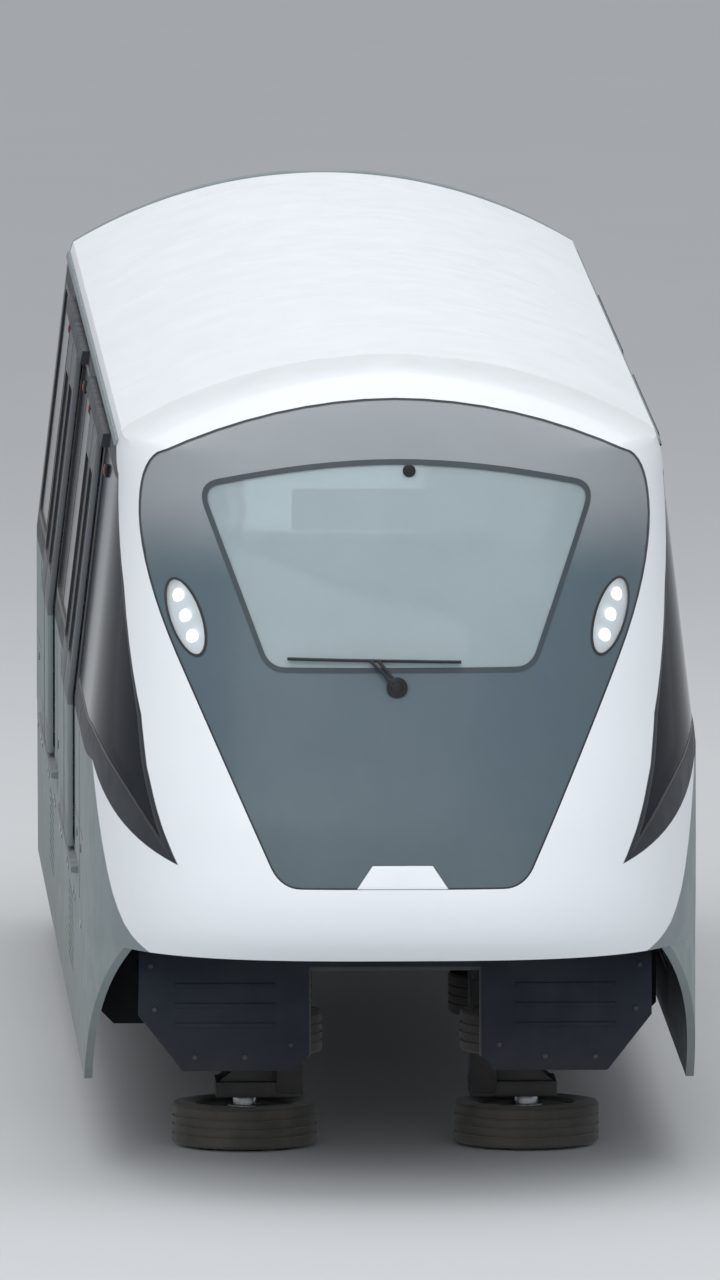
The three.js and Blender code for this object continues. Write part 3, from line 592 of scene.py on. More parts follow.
def weather_group():
    """Road dirt that thickens downwards, rain streaks and faint cloudy patches."""
    made, given, out = shader_group(
        "weather",
        {"Place": "Vector", "Colour": "Color", "Dirt": "Color", "Low": 0.0, "High": 1.0, "Amount": 0.5,
         "Patches": 0.05},
        {"Colour": "Color", "Mask": "Float"},
    )
    tree, place = made.tree, given["Place"]
    height = node(tree, "SeparateXYZ", {0: place})[2]
    clouds = made.noise(place, 1.7, 6.0, 0.62)
    tall = node(tree, "VectorMath", {0: place, 1: (8.0, 8.0, 0.7)}, operation="MULTIPLY")[0]
    streaks = made.times(made.ramp(made.noise(tall, 2.0, 4.0), 0.5, 0.78), 0.18)
    low_down = made.ramp(height, given["High"], given["Low"])
    splash = made.times(low_down, made.ramp(clouds, 0.25, 0.7, 0.35, 1.0))
    dirty = made.times(made.plus(splash, streaks), given["Amount"], clamp=True)
    shift = made.plus(made.times(made.ramp(clouds, 0.3, 0.7, -1.0, 1.0, "LINEAR"), given["Patches"]), 1.0)
    patched = node(tree, "VectorMath", {0: given["Colour"], "Scale": shift}, operation="SCALE")[0]
    plug(tree, out["Colour"], made.mix(dirty, patched, given["Dirt"]))
    plug(tree, out["Mask"], dirty)
    return tree


def grain_group():
    """A fine ripple with small pores, and a broad variation."""
    made, given, out = shader_group(
        "surface grain", {"Place": "Vector", "Size": 200.0, "Pores": 0.3},
        {"Height": "Float", "Variation": "Float"},
    )
    ripple = made.noise(given["Place"], given["Size"], 3.0)
    pores = made.cells(given["Place"], made.times(given["Size"], 2.3))
    plug(made.tree, out["Height"], made.plus(ripple, made.times(pores, given["Pores"])))
    plug(made.tree, out["Variation"], made.noise(given["Place"], 6.0, 5.0))
    return made.tree


def worn_group():
    """Where edges have been rubbed or chipped, broken up by noise."""
    made, given, out = shader_group(
        "worn edges", {"Place": "Vector", "Radius": 0.006, "Amount": 0.6},
        {"Mask": "Float", "Normal": "Vector"},
    )
    soft = node(made.tree, "Bevel", {"Radius": given["Radius"]}, samples=4)[0]
    true_normal = node(made.tree, "NewGeometry", {})["Normal"]
    turn = node(made.tree, "VectorMath", {0: soft, 1: true_normal}, operation="DOT_PRODUCT")["Value"]
    chips = made.ramp(made.noise(given["Place"], 24.0, 5.0), 0.42, 0.62)
    edge = made.ramp(turn, 0.995, 0.85)
    plug(made.tree, out["Mask"], made.times(made.times(edge, chips), given["Amount"]))
    plug(made.tree, out["Normal"], soft)
    return made.tree


WEATHER = weather_group()
GRAIN = grain_group()
WORN = worn_group()
DUST = linear(150, 142, 130)
ROAD_DIRT = linear(92, 86, 78)


class Finish(Shading):
    """One material: its shader and the object's own coordinates."""

    def __init__(self, name, **shader):
        self.material = bpy.data.materials.new(name)
        self.material.use_nodes = True
        super().__init__(self.material.node_tree)
        self.shader = self.tree.nodes["Principled BSDF"]
        self.place = node(self.tree, "TexCoord", {})["Object"]
        for key, value in shader.items():
            self.feed(key.replace("_", " "), value)

    def feed(self, socket, value):
        plug(self.tree, self.shader.inputs[socket], value)

    def group(self, tree, **sockets):
        return node(self.tree, "Group", {"Place": self.place, **sockets}, node_tree=tree)

    def axis(self, index):
        return node(self.tree, "SeparateXYZ", {0: self.place})[index]

    def relief(self, height, strength, depth, normal=None):
        inputs = {"Strength": strength, "Distance": depth, "Height": height}
        if normal is not None:
            inputs["Normal"] = normal
        self.feed("Normal", node(self.tree, "Bump", inputs)[0])

    def surface(
            self, colour, rough, weather, grain, relief, dirt=DUST, dirt_rough=0.0, shift=None, normal=None):
        """Weather and grain over a colour.

        rough is the roughness or its range, weather is low, high, amount and patches, grain is size and
        pores, relief is strength and depth. Dirt adds dirt_rough to the roughness, and shift is added
        everywhere.
        """
        low, high, amount, patches = weather
        weathered = self.group(
            WEATHER, Colour=colour, Dirt=dirt, Low=low, High=high, Amount=amount, Patches=patches)
        grained = self.group(GRAIN, Size=grain[0], Pores=grain[1])
        roughness = rough
        if isinstance(rough, tuple):
            roughness = self.ramp(grained["Variation"], 0.3, 0.7, *rough)
        if shift is not None:
            roughness = self.plus(roughness, shift)
        if dirt_rough:
            roughness = self.plus(roughness, self.times(weathered["Mask"], dirt_rough), clamp=True)
        self.feed("Base Color", weathered["Colour"])
        self.feed("Roughness", roughness)
        self.relief(grained["Height"], *relief, normal)
        return weathered


# Finishes
WHITE = linear(239, 243, 246)
SILVER = linear(134, 145, 147)
BAND = linear(50, 54, 60)


def around(roughness, spread=0.15):
    return (roughness * (1 - spread), roughness * (1 + spread))


def painted(
        name, colour, roughness, weather, coat=0.0, dirt=DUST, relief=0.08, masks=(), under=None, **shader):
    """Paint with weather on it. Masks lay further colours over the first, each by its own function.

    under is the roughness and metallic that the paint has under the masks, without its clear coat.
    """
    made = Finish(name, Coat_Weight=coat, Coat_Roughness=0.08, **shader)
    shift = None
    if masks:
        laid = [mask_of(made) for mask_of, _ in masks]
        for mask, (_, other) in zip(laid, masks):
            colour = made.mix(mask, colour, other)
        if under:
            covered = made.math("MAXIMUM", *laid)
            made.feed("Coat Weight", made.times(made.minus(1.0, covered), coat))
            made.feed("Metallic", made.times(covered, under[1]))
            shift = made.times(covered, under[0] - roughness)
    made.surface(colour, around(roughness), weather, (260.0, 0.3), (relief, 0.0006), dirt, 0.35, shift)
    return made.material


def sloped(made, value, slope, start):
    return made.plus(made.times(value, slope), start)


def nose_silver(made):
    """The silver flank behind a leaning line, under the side glass."""
    y, z = made.axis(1), made.axis(2)
    behind = made.ramp(made.minus(y, sloped(made, z, 0.88, -6.77)), 0.0, 0.012)
    return made.times(behind, made.ramp(z, 1.3, 1.29))


def nose_band(made):
    """The dark band round the side glass; it follows the glass's front edge and runs out at its tip."""
    y, z = made.axis(1), made.axis(2)
    ahead = sloped(made, z, 1.102, -8.163)
    for slope, start in ((0.88, -7.721), (0.607, -7.339)):
        ahead = made.math("MAXIMUM", ahead, sloped(made, z, slope, start))
    lower = made.math("MINIMUM", sloped(made, y, 0.369, 3.24), BAND_BOTTOM)
    over = made.ramp(made.minus(z, lower), 0.0, 0.006)
    below = made.ramp(made.minus(sloped(made, y, 0.2, 3.58), z), 0.0, 0.008)
    return made.times(made.times(below, over), made.ramp(made.minus(y, ahead), 0.0, 0.008))


def above_band(made):
    return made.ramp(made.axis(2), BAND_BOTTOM, BAND_BOTTOM + 0.004)


def glazing(name, colour, transmission, roughness, streaks, ior=1.45):
    made = Finish(name, Transmission_Weight=transmission, IOR=ior)
    weather = (-0.5, 2.6, streaks, 0.04)
    made.surface(colour, roughness, weather, (40.0, 0.0), (0.02, 0.0005), dirt_rough=0.5)
    return made.material


def metal(name, colour, roughness, metallic, bare=None, amount=0.5, radius=0.006, relief=0.2):
    """Machined or painted metal with worn edges that show the bare metal."""
    made = Finish(name)
    worn = made.group(WORN, Radius=radius)
    weathered = made.surface(
        colour, around(roughness, 0.25), (-1.0, 1.2, amount, 0.1), (90.0, 0.3), (relief, 0.0012), ROAD_DIRT,
        0.3, normal=worn["Normal"],
    )
    made.feed("Base Color", made.mix(worn["Mask"], weathered["Colour"], bare or colour))
    made.feed("Metallic", made.times(made.minus(1.0, weathered["Mask"]), metallic, clamp=True))
    return made.material


def rubber(name, colour, roughness, amount, low=-1.2, high=1.2, grain=160.0, relief=0.35):
    made = Finish(name, Sheen_Weight=0.15, Sheen_Roughness=0.5)
    made.surface(
        colour, (roughness * 0.85, roughness), (low, high, amount, 0.12), (grain, 0.6), (relief, 0.0015))
    return made.material


def plastic(name, colour, roughness):
    made = Finish(name, Specular_IOR_Level=0.45)
    made.surface(colour, around(roughness), (0.2, 1.2, 0.12, 0.05), (380.0, 0.8), (0.25, 0.0006))
    return made.material


def floor_finish():
    made = Finish("floor covering")
    flecks = made.ramp(made.cells(made.place, 190.0), 0.25, 0.15)
    colour = made.mix(flecks, linear(88, 92, 98), linear(170, 174, 178))
    made.surface(colour, (0.45, 0.7), (0.3, 0.9, 0.25, 0.1), (300.0, 0.3), (0.2, 0.0005))
    return made.material


def mask_with_painted_sky():
    """Dark gloss panel; its top, round the windscreen, is a pale grey painted reflection of the sky."""
    made = Finish("mask_gloss_and_painted_sky", Coat_Weight=0.18, Coat_Roughness=0.2, Specular_IOR_Level=0.4)
    # Painted reflection: the panel turns pale grey upwards from 2.04 m, standing in for the sky it reflects
    painted_sky_mask = made.ramp(made.axis(2), 2.04, 2.54)
    colour = made.mix(painted_sky_mask, linear(82, 98, 107), linear(146, 151, 155))
    made.surface(colour, (0.34, 0.42), (0.2, 1.5, 0.12, 0.04), (120.0, 0.1), (0.04, 0.0005))
    return made.material


def glowing(name, colour, strength):
    made = Finish(name, Emission_Strength=strength, Roughness=0.3)
    grained = made.group(GRAIN, Size=120.0)
    darker = (*(c * 0.93 for c in colour[:3]), 1)
    tint = made.mix(made.ramp(grained["Variation"], 0.3, 0.7), colour, darker)
    made.feed("Base Color", tint)
    made.feed("Emission Color", tint)
    made.relief(grained["Height"], 0.05, 0.0005)
    return made.material


SATIN = {"Metallic": 0.15, "Specular_IOR_Level": 0.3}
NOSE_PAINT = painted(
    "nose_paint", WHITE, 0.34, (-0.1, 0.7, 0.04, 0.01), 0.2, masks=((nose_silver, SILVER), (nose_band, BAND)),
    under=(0.5, 0.15), Specular_IOR_Level=0.3,
)
ROOF_PAINT = painted("roof_paint", WHITE, 0.48, (2.3, 2.8, 0.14, 0.02), 0.05, Specular_IOR_Level=0.3)
SILVER_PAINT = painted("silver_paint", SILVER, 0.5, (-0.7, 0.3, 0.3, 0.05), **SATIN)
WALL_PAINT = painted("wall_paint", SILVER, 0.5, (0.0, 0.8, 0.16, 0.05), masks=((above_band, BAND),), **SATIN)
DOOR_PAINT = painted(
    "door_paint", SILVER, 0.5, (0.2, 0.9, 0.16, 0.04), masks=((above_band, linear(104, 109, 114)),), **SATIN)
# Dark navy for the parts under the nose and the floor: their dark paint, made darker and bluer as painted
# shade from the car above them
UNDER_PAINT_AND_SHADE = painted(
    "under_paint_and_painted_shade", linear(22, 29, 40), 0.6, (-0.9, 0.1, 0.2, 0.08), dirt=ROAD_DIRT, relief=0.15,
    Specular_IOR_Level=0.3,
)
MASK_GLOSS_AND_SKY = mask_with_painted_sky()
# Windscreen: a light blue-grey that is only half see-through, a painted reflection of the sky over the
# glass's own tint
SCREEN_GLASS_AND_SKY = glazing("screen_glass_and_painted_sky", linear(206, 221, 226), 0.55, 0.06, 0.1, 1.35)
SIDE_GLASS = glazing("side_glass", linear(54, 60, 69), 0.6, 0.08, 0.08, 1.13)
LENS = glazing("lens_glass", linear(244, 248, 250), 0.85, 0.02, 0.03)
SCREEN_SEAL = rubber("screen_seal", linear(56, 66, 73), 0.6, 0.15, grain=300.0, relief=0.15)
SEAL = rubber("seal_rubber", linear(34, 36, 40), 0.6, 0.2, grain=300.0, relief=0.15)
TYRE = rubber("tyre_rubber", linear(34, 34, 36), 0.85, 0.28)
BELLOWS = rubber("bellows_rubber", linear(128, 131, 134), 0.75, 0.2, 0.0, 2.4, relief=0.3)
DARK_METAL = metal("dark_metal", linear(44, 48, 54), 0.55, 0.35, linear(120, 122, 124))
RIM_METAL = metal("rim_metal", linear(150, 152, 156), 0.42, 0.7, linear(190, 192, 195))
DULL_STEEL = metal("dull_steel", linear(132, 136, 139), 0.6, 0.4, amount=0.15, radius=0.002, relief=0.05)
BARE_STEEL = metal("bare_steel", linear(186, 189, 192), 0.28, 1.0, amount=0.2, radius=0.002, relief=0.08)
COPPER = metal("copper_shoe", linear(176, 110, 72), 0.35, 1.0, amount=0.3, radius=0.003)
SEAT_SHELL = plastic("seat_shell", linear(52, 92, 118), 0.42)
INNER_PANEL = plastic("inner_panel", linear(206, 208, 206), 0.55)
CONSOLE_PLASTIC = plastic("console_plastic", linear(84, 88, 92), 0.6)
BLACK_PLASTIC = plastic("black_plastic", linear(26, 28, 31), 0.4)
FLOOR_COVERING = floor_finish()
LAMP_WHITE = glowing("lamp_white", (0.95, 0.97, 1.0, 1), 1.4)
LAMP_BOWL = glowing("lamp_bowl", (0.74, 0.78, 0.8, 1), 0.3)
MARKER_RED = glowing("marker_red", linear(170, 24, 22), 0.15)
CEILING_LIGHT = glowing("ceiling_light", (1.0, 0.97, 0.9, 1), 1.2)


# Studio
VIEW_TURN = math.radians(1.8)
VIEW_RISE = math.radians(5.7)
VIEW_LENS = 900
VIEW_TARGET = Vector((0, -0.5, 1.17))
FRAME_HEIGHT = 6.6
SENSOR = 36
FLOOR_RADIUS = 260
WORLD_LIGHT = 0.6
WORLD_SEEN = 0.42


def set_camera():
    data = bpy.data.cameras.new("view")
    data.lens = VIEW_LENS
    data.sensor_width = SENSOR
    data.clip_start, data.clip_end = 1, 2000
    back = Vector((
        -math.sin(VIEW_TURN) * math.cos(VIEW_RISE), -math.cos(VIEW_TURN) * math.cos(VIEW_RISE),
        math.sin(VIEW_RISE),
    ))
    camera = bpy.data.objects.new("view", data)
    camera.location = VIEW_TARGET + back * (VIEW_LENS * FRAME_HEIGHT / SENSOR)
    camera.rotation_mode = "QUATERNION"
    camera.rotation_quaternion = (-back).to_track_quat("-Z", "Y")
    SCENE.collection.objects.link(camera)
    SCENE.camera = camera


def soft_light(name, place, aim, size, power):
    data = bpy.data.lights.new(name, "AREA")
    data.shape, data.size, data.size_y = "RECTANGLE", *size
    data.energy = power
    light = bpy.data.objects.new(name, data)
    light.location = place
    light.rotation_euler = (Vector(aim) - Vector(place)).to_track_quat("-Z", "Y").to_euler()
    SCENE.collection.objects.link(light)
    return light


def set_world():
    world = bpy.data.worlds.new("studio")
    world.use_nodes = True
    ground = world.node_tree.nodes["Background"].inputs
    ground["Color"].default_value = (0.86, 0.89, 0.93, 1)
    seen = node(world.node_tree, "LightPath", {})["Is Camera Ray"]
    strength = Shading(world.node_tree).ramp(seen, 0.0, 1.0, WORLD_LIGHT, WORLD_SEEN)
    plug(world.node_tree, ground["Strength"], strength)
    SCENE.world = world
    SCENE.view_settings.view_transform = "Standard"


def set_floor():
    bm = bmesh.new()
    bmesh.ops.create_circle(bm, cap_ends=True, segments=96, radius=FLOOR_RADIUS)
    bmesh.ops.translate(bm, vec=(0, 0, CAD_LOW.z - 0.01), verts=bm.verts)
    floor = new_object("studio_floor", bm)
    pale = Finish("pale_floor", Roughness=0.9)
    tint = pale.noise(pale.place, 0.6, 3.0)
    pale.feed("Base Color", pale.mix(tint, (0.66, 0.67, 0.68, 1), (0.69, 0.7, 0.71, 1)))
    floor.data.materials.append(pale.material)


set_camera()
set_world()
soft_light("overhead", (0, 2, 16), (0, 0, 0), (22, 34), 1880)
soft_light("front", (-10, -30, 20), (0, -4, 1), (30, 20), 2200)
low_light = soft_light("low_front", (2, -46, 10), (0, -7, 0.8), (38, 10), 1120)
low_light.data.spread = math.radians(90)
low_light.data.color = (0.9, 0.96, 1.0)
low_light.visible_glossy = False
set_floor()


# Nose
def spaced(low, high, count):
    return {low + i * (high - low) / count for i in range(count + 1)}


NOSE_HEIGHTS = sorted(
    spaced(SILL_Z, WAIST_Z, 14) | spaced(WAIST_Z, CANTRAIL_Z, 16) | spaced(CANTRAIL_Z, ROOF_Z, 18)
)
BROW_Z = 2.3
SEAL_OUT = 0.004
SEAL_IN = 0.008


def nose_block(offset, back_y, bottom=SILL_Z):
    """The whole nose as one full solid, pulled in by an offset on every side."""
    rings = []
    for z in NOSE_HEIGHTS:
        plan = body_plan(z, offset, back_y)
        if z == SILL_Z and bottom < SILL_Z:
            rings.append([(x, y, bottom) for x, y in plan])
        sunk = offset * min(1.0, max(0.0, (z - BROW_Z) / (CANTRAIL_Z - BROW_Z)))
        rings.append([(x, y, z - sunk) for x, y in plan])
    return loft(rings)


def nose_layer(outer, inner, shape, *cutters):
    """A layer of the nose between two depths, kept inside a solid and cut by others."""
    return carved(nose_block(outer, 0.0), nose_block(inner, 0.1, 0.0), *cutters, inside=shape)


def front_prism(points):
    return prism(points, "y", -7.6, -5.45)


def lamp_prism(shrink=0.0, sign=1):
    return on_side(front_prism(lamp_outline(shrink)), sign)


def ring_layer(outer, inner, prism_of, points, out=SEAL_OUT, into=SEAL_IN, sign=1):
    """A seal that follows an outline over the nose."""
    whole, hole = [on_side(prism_of(grown(points, width)), sign) for width in (out, -into)]
    return nose_layer(outer, inner, whole, hole)


def nose_piece(side, name, made, look, replaces=None):
    """A piece of one side of the nose, cut where it is, as the nose's facets aren't mirrored."""
    sided(side, name, made, look, replaces, in_place=True)


def build_nose():
    shell = carved(
        nose_block(0.0, CAB_END_Y - GAP), nose_block(0.06, 0.1, 0.0), front_prism(MASK),
        *[side_prism(FRONT_WINDOW, sign) for sign in SIDES.values()],
    )
    piece("nose_shell", shell, NOSE_PAINT, replaces="cab_shell")
    mask = nose_layer(
        0.003, 0.043, front_prism(grown(MASK, -0.004)), front_prism(SCREEN),
        *[lamp_prism(sign=sign) for sign in SIDES.values()], front_prism(COVER),
    )
    piece("nose_mask_panel", mask, MASK_GLOSS_AND_SKY, replaces="nose_mask")
    screen = nose_layer(0.006, 0.024, front_prism(grown(SCREEN, -0.001)))
    piece("windscreen_glass", screen, SCREEN_GLASS_AND_SKY, replaces="windscreen")
    piece("windscreen_seal", ring_layer(0.001, 0.028, front_prism, SCREEN, 0.014, 0.012), SCREEN_SEAL)
    piece("mask_seal", ring_layer(0.001, 0.02, front_prism, MASK), SEAL)
    cover = softened(nose_layer(-0.002, 0.04, front_prism(grown(COVER, -0.002))), 0.004, 50)
    piece("coupler_hatch", cover, NOSE_PAINT, replaces="coupler_cover")
    for side, sign in SIDES.items():
        glass = nose_layer(0.005, 0.019, side_prism(grown(FRONT_WINDOW, -0.001), sign))
        nose_piece(side, "front_side_glass", glass, SIDE_GLASS, "front_window")
        seal = ring_layer(0.002, 0.022, side_prism, FRONT_WINDOW, 0.006, 0.016, sign)
        nose_piece(side, "front_side_seal", seal, SEAL)


def build_lamps():
    for side, sign in SIDES.items():
        nose_piece(side, "headlamp_lens", nose_layer(0.004, 0.01, lamp_prism(0.001, sign)), LENS, "headlamp")
        nose_piece(side, "headlamp_bowl", nose_layer(0.02, 0.06, lamp_prism(0.004, sign)), LAMP_BOWL)
        pocket = nose_layer(0.03, 0.061, lamp_prism(0.003, sign))
        can = nose_layer(0.0435, 0.09, lamp_prism(-0.01, sign), pocket)
        nose_piece(side, "headlamp_can", can, BLACK_PLASTIC)
        rim = ring_layer(0.001, 0.05, front_prism, lamp_outline(), sign=sign)
        nose_piece(side, "headlamp_rim", rim, SEAL)
        units = []
        for along in (-0.1, 0, 0.1):
            x = LAMP_CENTRE[0] + along * math.sin(LAMP_LEAN)
            z = LAMP_CENTRE[1] + along * math.cos(LAMP_LEAN)
            slope = math.atan2(front_y(x + 0.01, z) - front_y(x - 0.01, z), 0.02)
            ball = bmesh.new()
            bmesh.ops.create_uvsphere(ball, u_segments=24, v_segments=12, radius=0.038)
            place = Matrix.Translation((x, front_y(x, z, 0.018) + 0.002, z))
            flat = Matrix.Diagonal((1, 0.35, 1, 1))
            units.append(moved(ball, place @ Matrix.Rotation(slope, 4, "Z") @ flat))
        sided(side, "headlamp_units", units, LAMP_WHITE)


WIPER_PIVOT = (-0.02, 1.58)
WIPER_BLADE = ((-0.56, 1.715), (0.3, 1.7))
WIPER_STEPS = 14


def on_glass(x, z, proud):
    return (x, front_y(x, z) - proud, z)


def build_wiper():
    (px, pz), ((ax, az), (bx, bz)) = WIPER_PIVOT, WIPER_BLADE
    mx, mz = (ax + bx) / 2, (az + bz) / 2
    arm = [
        disc(0.055, 0.03, "y", on_glass(px, pz, 0.012), 28, 0.006, top=0.042),
        disc(0.026, 0.02, "y", on_glass(px, pz, 0.03), 20, 0.004),
    ]
    for s in (-0.02, 0.02):
        arm.append(tube([
            on_glass(px + s, pz, 0.03), on_glass(px + s * 0.6 - 0.05, (pz + mz) / 2, 0.04),
            on_glass(mx + s, mz, 0.034),
        ], 0.008))

    def blade(proud):
        places = [i / WIPER_STEPS for i in range(WIPER_STEPS + 1)]
        return [on_glass(ax + (bx - ax) * t, az + (bz - az) * t, proud) for t in places]

    piece("wiper_arm", [*arm, tube(blade(0.026), 0.007)], BLACK_PLASTIC)
    piece("wiper_blade", tube(blade(0.01), 0.0075, 8), SEAL)


def build_display():
    """The blank destination display and the camera eye behind the top of the windscreen."""
    y = front_y(0, 2.42, 0.16)
    piece("display_case", block(-0.52, 0.52, y, y + 0.09, 2.3, 2.5, 0.012), BLACK_PLASTIC)
    eye = disc(0.032, 0.03, "y", (0.06, front_y(0.06, 2.6, -0.004), 2.6), 24, 0.005)
    piece("front_camera_eye", eye, BLACK_PLASTIC)


# Roof, walls and skirts
ROOF_SEAMS = (-3.1, -1.0, 1.1, 3.2, 5.3)
ROOF_THICK = 0.1
WINDOW_BARS = (-0.47, 0.47, 4.4)
WALL_SEAMS = (CAB_END_Y + 0.75, -0.95, 0.0, 0.95, 3.85, 4.7)
LONG_SEAM_Z = 0.6
LONG_SEAMS = ((CAB_END_Y + 0.02, DOOR_YS["front"] - 0.8), (DOOR_YS["rear"] + 0.8, REAR_Y - 0.02))
GUIDE_HALF = 1.55
SKIRT_SEAMS = (-4.6, -3.0, -1.5, 0.0, 1.5, 3.0, 4.6)
SKIRT_LOCKS = (-4.45, -3.15, -2.85, -1.65, -1.35, -0.15, 0.15, 1.35, 1.65, 2.85, 3.15, 4.45, 4.75, 5.5)
SKIRT_VENTS = (-2.25, 2.25)
SKIRT_LOCK_Z = 0.13
VENT_SLATS = 9
SILL_GUIDE = [
    (HALF_WIDTH - 0.0005, 0.325), (HALF_WIDTH + 0.036, 0.329), (HALF_WIDTH + 0.036, 0.356),
    (HALF_WIDTH - 0.0005, 0.36),
]
SIGNAL_Z = 2.38
SIGNAL_FROM_DOOR = 1.68
FLAP_LOCK_Z = 0.52
FLAP_LOCKS = (-4.5, -3.7, -0.6, 0.6, 4.1, 5.2)


def build_roof():
    roof = roof_profile()
    seams = [seam_cutter(roof, y, 0.006) for y in ROOF_SEAMS]
    hollow = prism(roof_profile(ROOF_THICK), "y", CAB_END_Y - 0.01, REAR_Y + 0.01)
    skin = carved(prism(roof, "y", CAB_END_Y, REAR_Y - GAP), hollow, *seams)
    piece("roof_skin", skin, ROOF_PAINT, replaces="roof_shell")


def lock_head(radius, x, y, z):
    return disc(radius, 0.006, "x", (x, y, z), 20, 0.002)


def build_walls():
    face = HALF_WIDTH + 0.003
    for side in SIDES:
        gutter = strip(
            NOSE_BASE_Y + 0.02, REAR_Y - 0.002, CANTRAIL_Z + 0.002, CANTRAIL_Z + 0.03, 0.014, 0.001)
        sided(side, "roof_gutter", gutter, SILVER_PAINT)
        seals = [window_part(window, 0.004, -0.024, 0.01, 0.018) for window in WALL_WINDOWS]
        sided(side, "window_seals", seals, SEAL)
        bars = [
            strip(y - 0.02, y + 0.02, WINDOW_BOTTOM + 0.005, WINDOW_TOP - 0.005, -0.0035, -0.03)
            for y in WINDOW_BARS
        ]
        sided(side, "window_bars", bars, SEAL)
        guides = [prism(SILL_GUIDE, "y", y - GUIDE_HALF, y + GUIDE_HALF) for y in DOOR_YS.values()]
        sided(side, "door_sill_guides", guides, DULL_STEEL)
        cases, eyes = [], []
        x = half_width_at(SIGNAL_Z) + 0.002
        for y in [door_y + end * SIGNAL_FROM_DOOR for door_y in DOOR_YS.values() for end in BOTH]:
            cases.append(block(
                x - 0.01, x + 0.012, y - 0.06, y + 0.06, SIGNAL_Z - 0.03, SIGNAL_Z + 0.03, 0.006))
            eyes.append(lock_head(0.018, x + 0.014, y, SIGNAL_Z))
        sided(side, "door_signal_cases", cases, BLACK_PLASTIC)
        sided(side, "door_signal_lamps", eyes, MARKER_RED)
        seams = [
            strip(y - 0.003, y + 0.003, SILL_Z + 0.01, BAND_BOTTOM - 0.02, 0.0012, -0.001)
            for y in WALL_SEAMS
        ]
        seams += [strip(y0, y1, LONG_SEAM_Z, LONG_SEAM_Z + 0.006, 0.0012, -0.001) for y0, y1 in LONG_SEAMS]
        sided(side, "wall_seams", seams, SEAL)
        locks = []
        for y in FLAP_LOCKS:
            locks.append(lock_head(0.022, face, y, FLAP_LOCK_Z))
            locks.append(block(
                face + 0.002, face + 0.006, y - 0.014, y + 0.014, FLAP_LOCK_Z - 0.004, FLAP_LOCK_Z + 0.004))
        sided(side, "flap_locks", locks, DULL_STEEL)


def build_skirts():
    edge_x, edge_z = HALF_WIDTH - 0.02, SKIRT_BOTTOM + 0.004
    for side, sign in SIDES.items():
        cutters = []
        for y in SKIRT_SEAMS:
            cutters.append(block(HALF_WIDTH - 0.012, 1.6, y - SEAM_HALF, y + SEAM_HALF, -0.7, 0.3))
        for y in SKIRT_VENTS:
            for z in [-0.3 + k * 0.045 for k in range(VENT_SLATS)]:
                cutters.append(block(1.4, 1.6, y - 0.5, y + 0.5, z, z + 0.018))
        panels = carved(
            prism(body_plan(SILL_Z, 0.0, REAR_Y - GAP), "z", -0.7, SILL_Z - GAP),
            prism(body_plan(SILL_Z, SKIRT_THICK, REAR_Y - GAP), "z", -0.8, 0.4),
            *[on_side(cutter, sign) for cutter in cutters], inside=side_prism(SKIRT, sign),
        )
        sided(side, "skirt_panels", panels, SILVER_PAINT, "side_skirt", in_place=True)
        edge = tube([(edge_x, -5.0, edge_z), (edge_x, 5.66, edge_z)], 0.012)
        sided(side, "skirt_edge", edge, SEAL)
        locks = [lock_head(0.02, HALF_WIDTH + 0.003, y, SKIRT_LOCK_Z) for y in SKIRT_LOCKS]
        sided(side, "skirt_locks", locks, BARE_STEEL)


# Rear end
BELLOWS_START = WALL_Y + GAP
BELLOWS_END = BELLOWS_START + 0.3
BELLOWS_OUT = 0.06
BELLOWS_IN = 0.118
BELLOWS_HOLE = 0.14
FOLDS = 6
FOLD_STEPS = 6


def body_section(offset):
    """The body's cross section, closed, as (x, z), pulled in on every side."""
    low = SILL_Z + 0.04
    side = [(HALF_WIDTH, low), (HALF_WIDTH, WAIST_Z)]
    other = [(-x, z) for x, z in side[::-1]]
    return grown([*side, *roof_profile(0.0, 30), *other], -offset)


def doorway(half, below, top, corner):
    return rounded(-half, half, FLOOR_Z - below, top, corner)


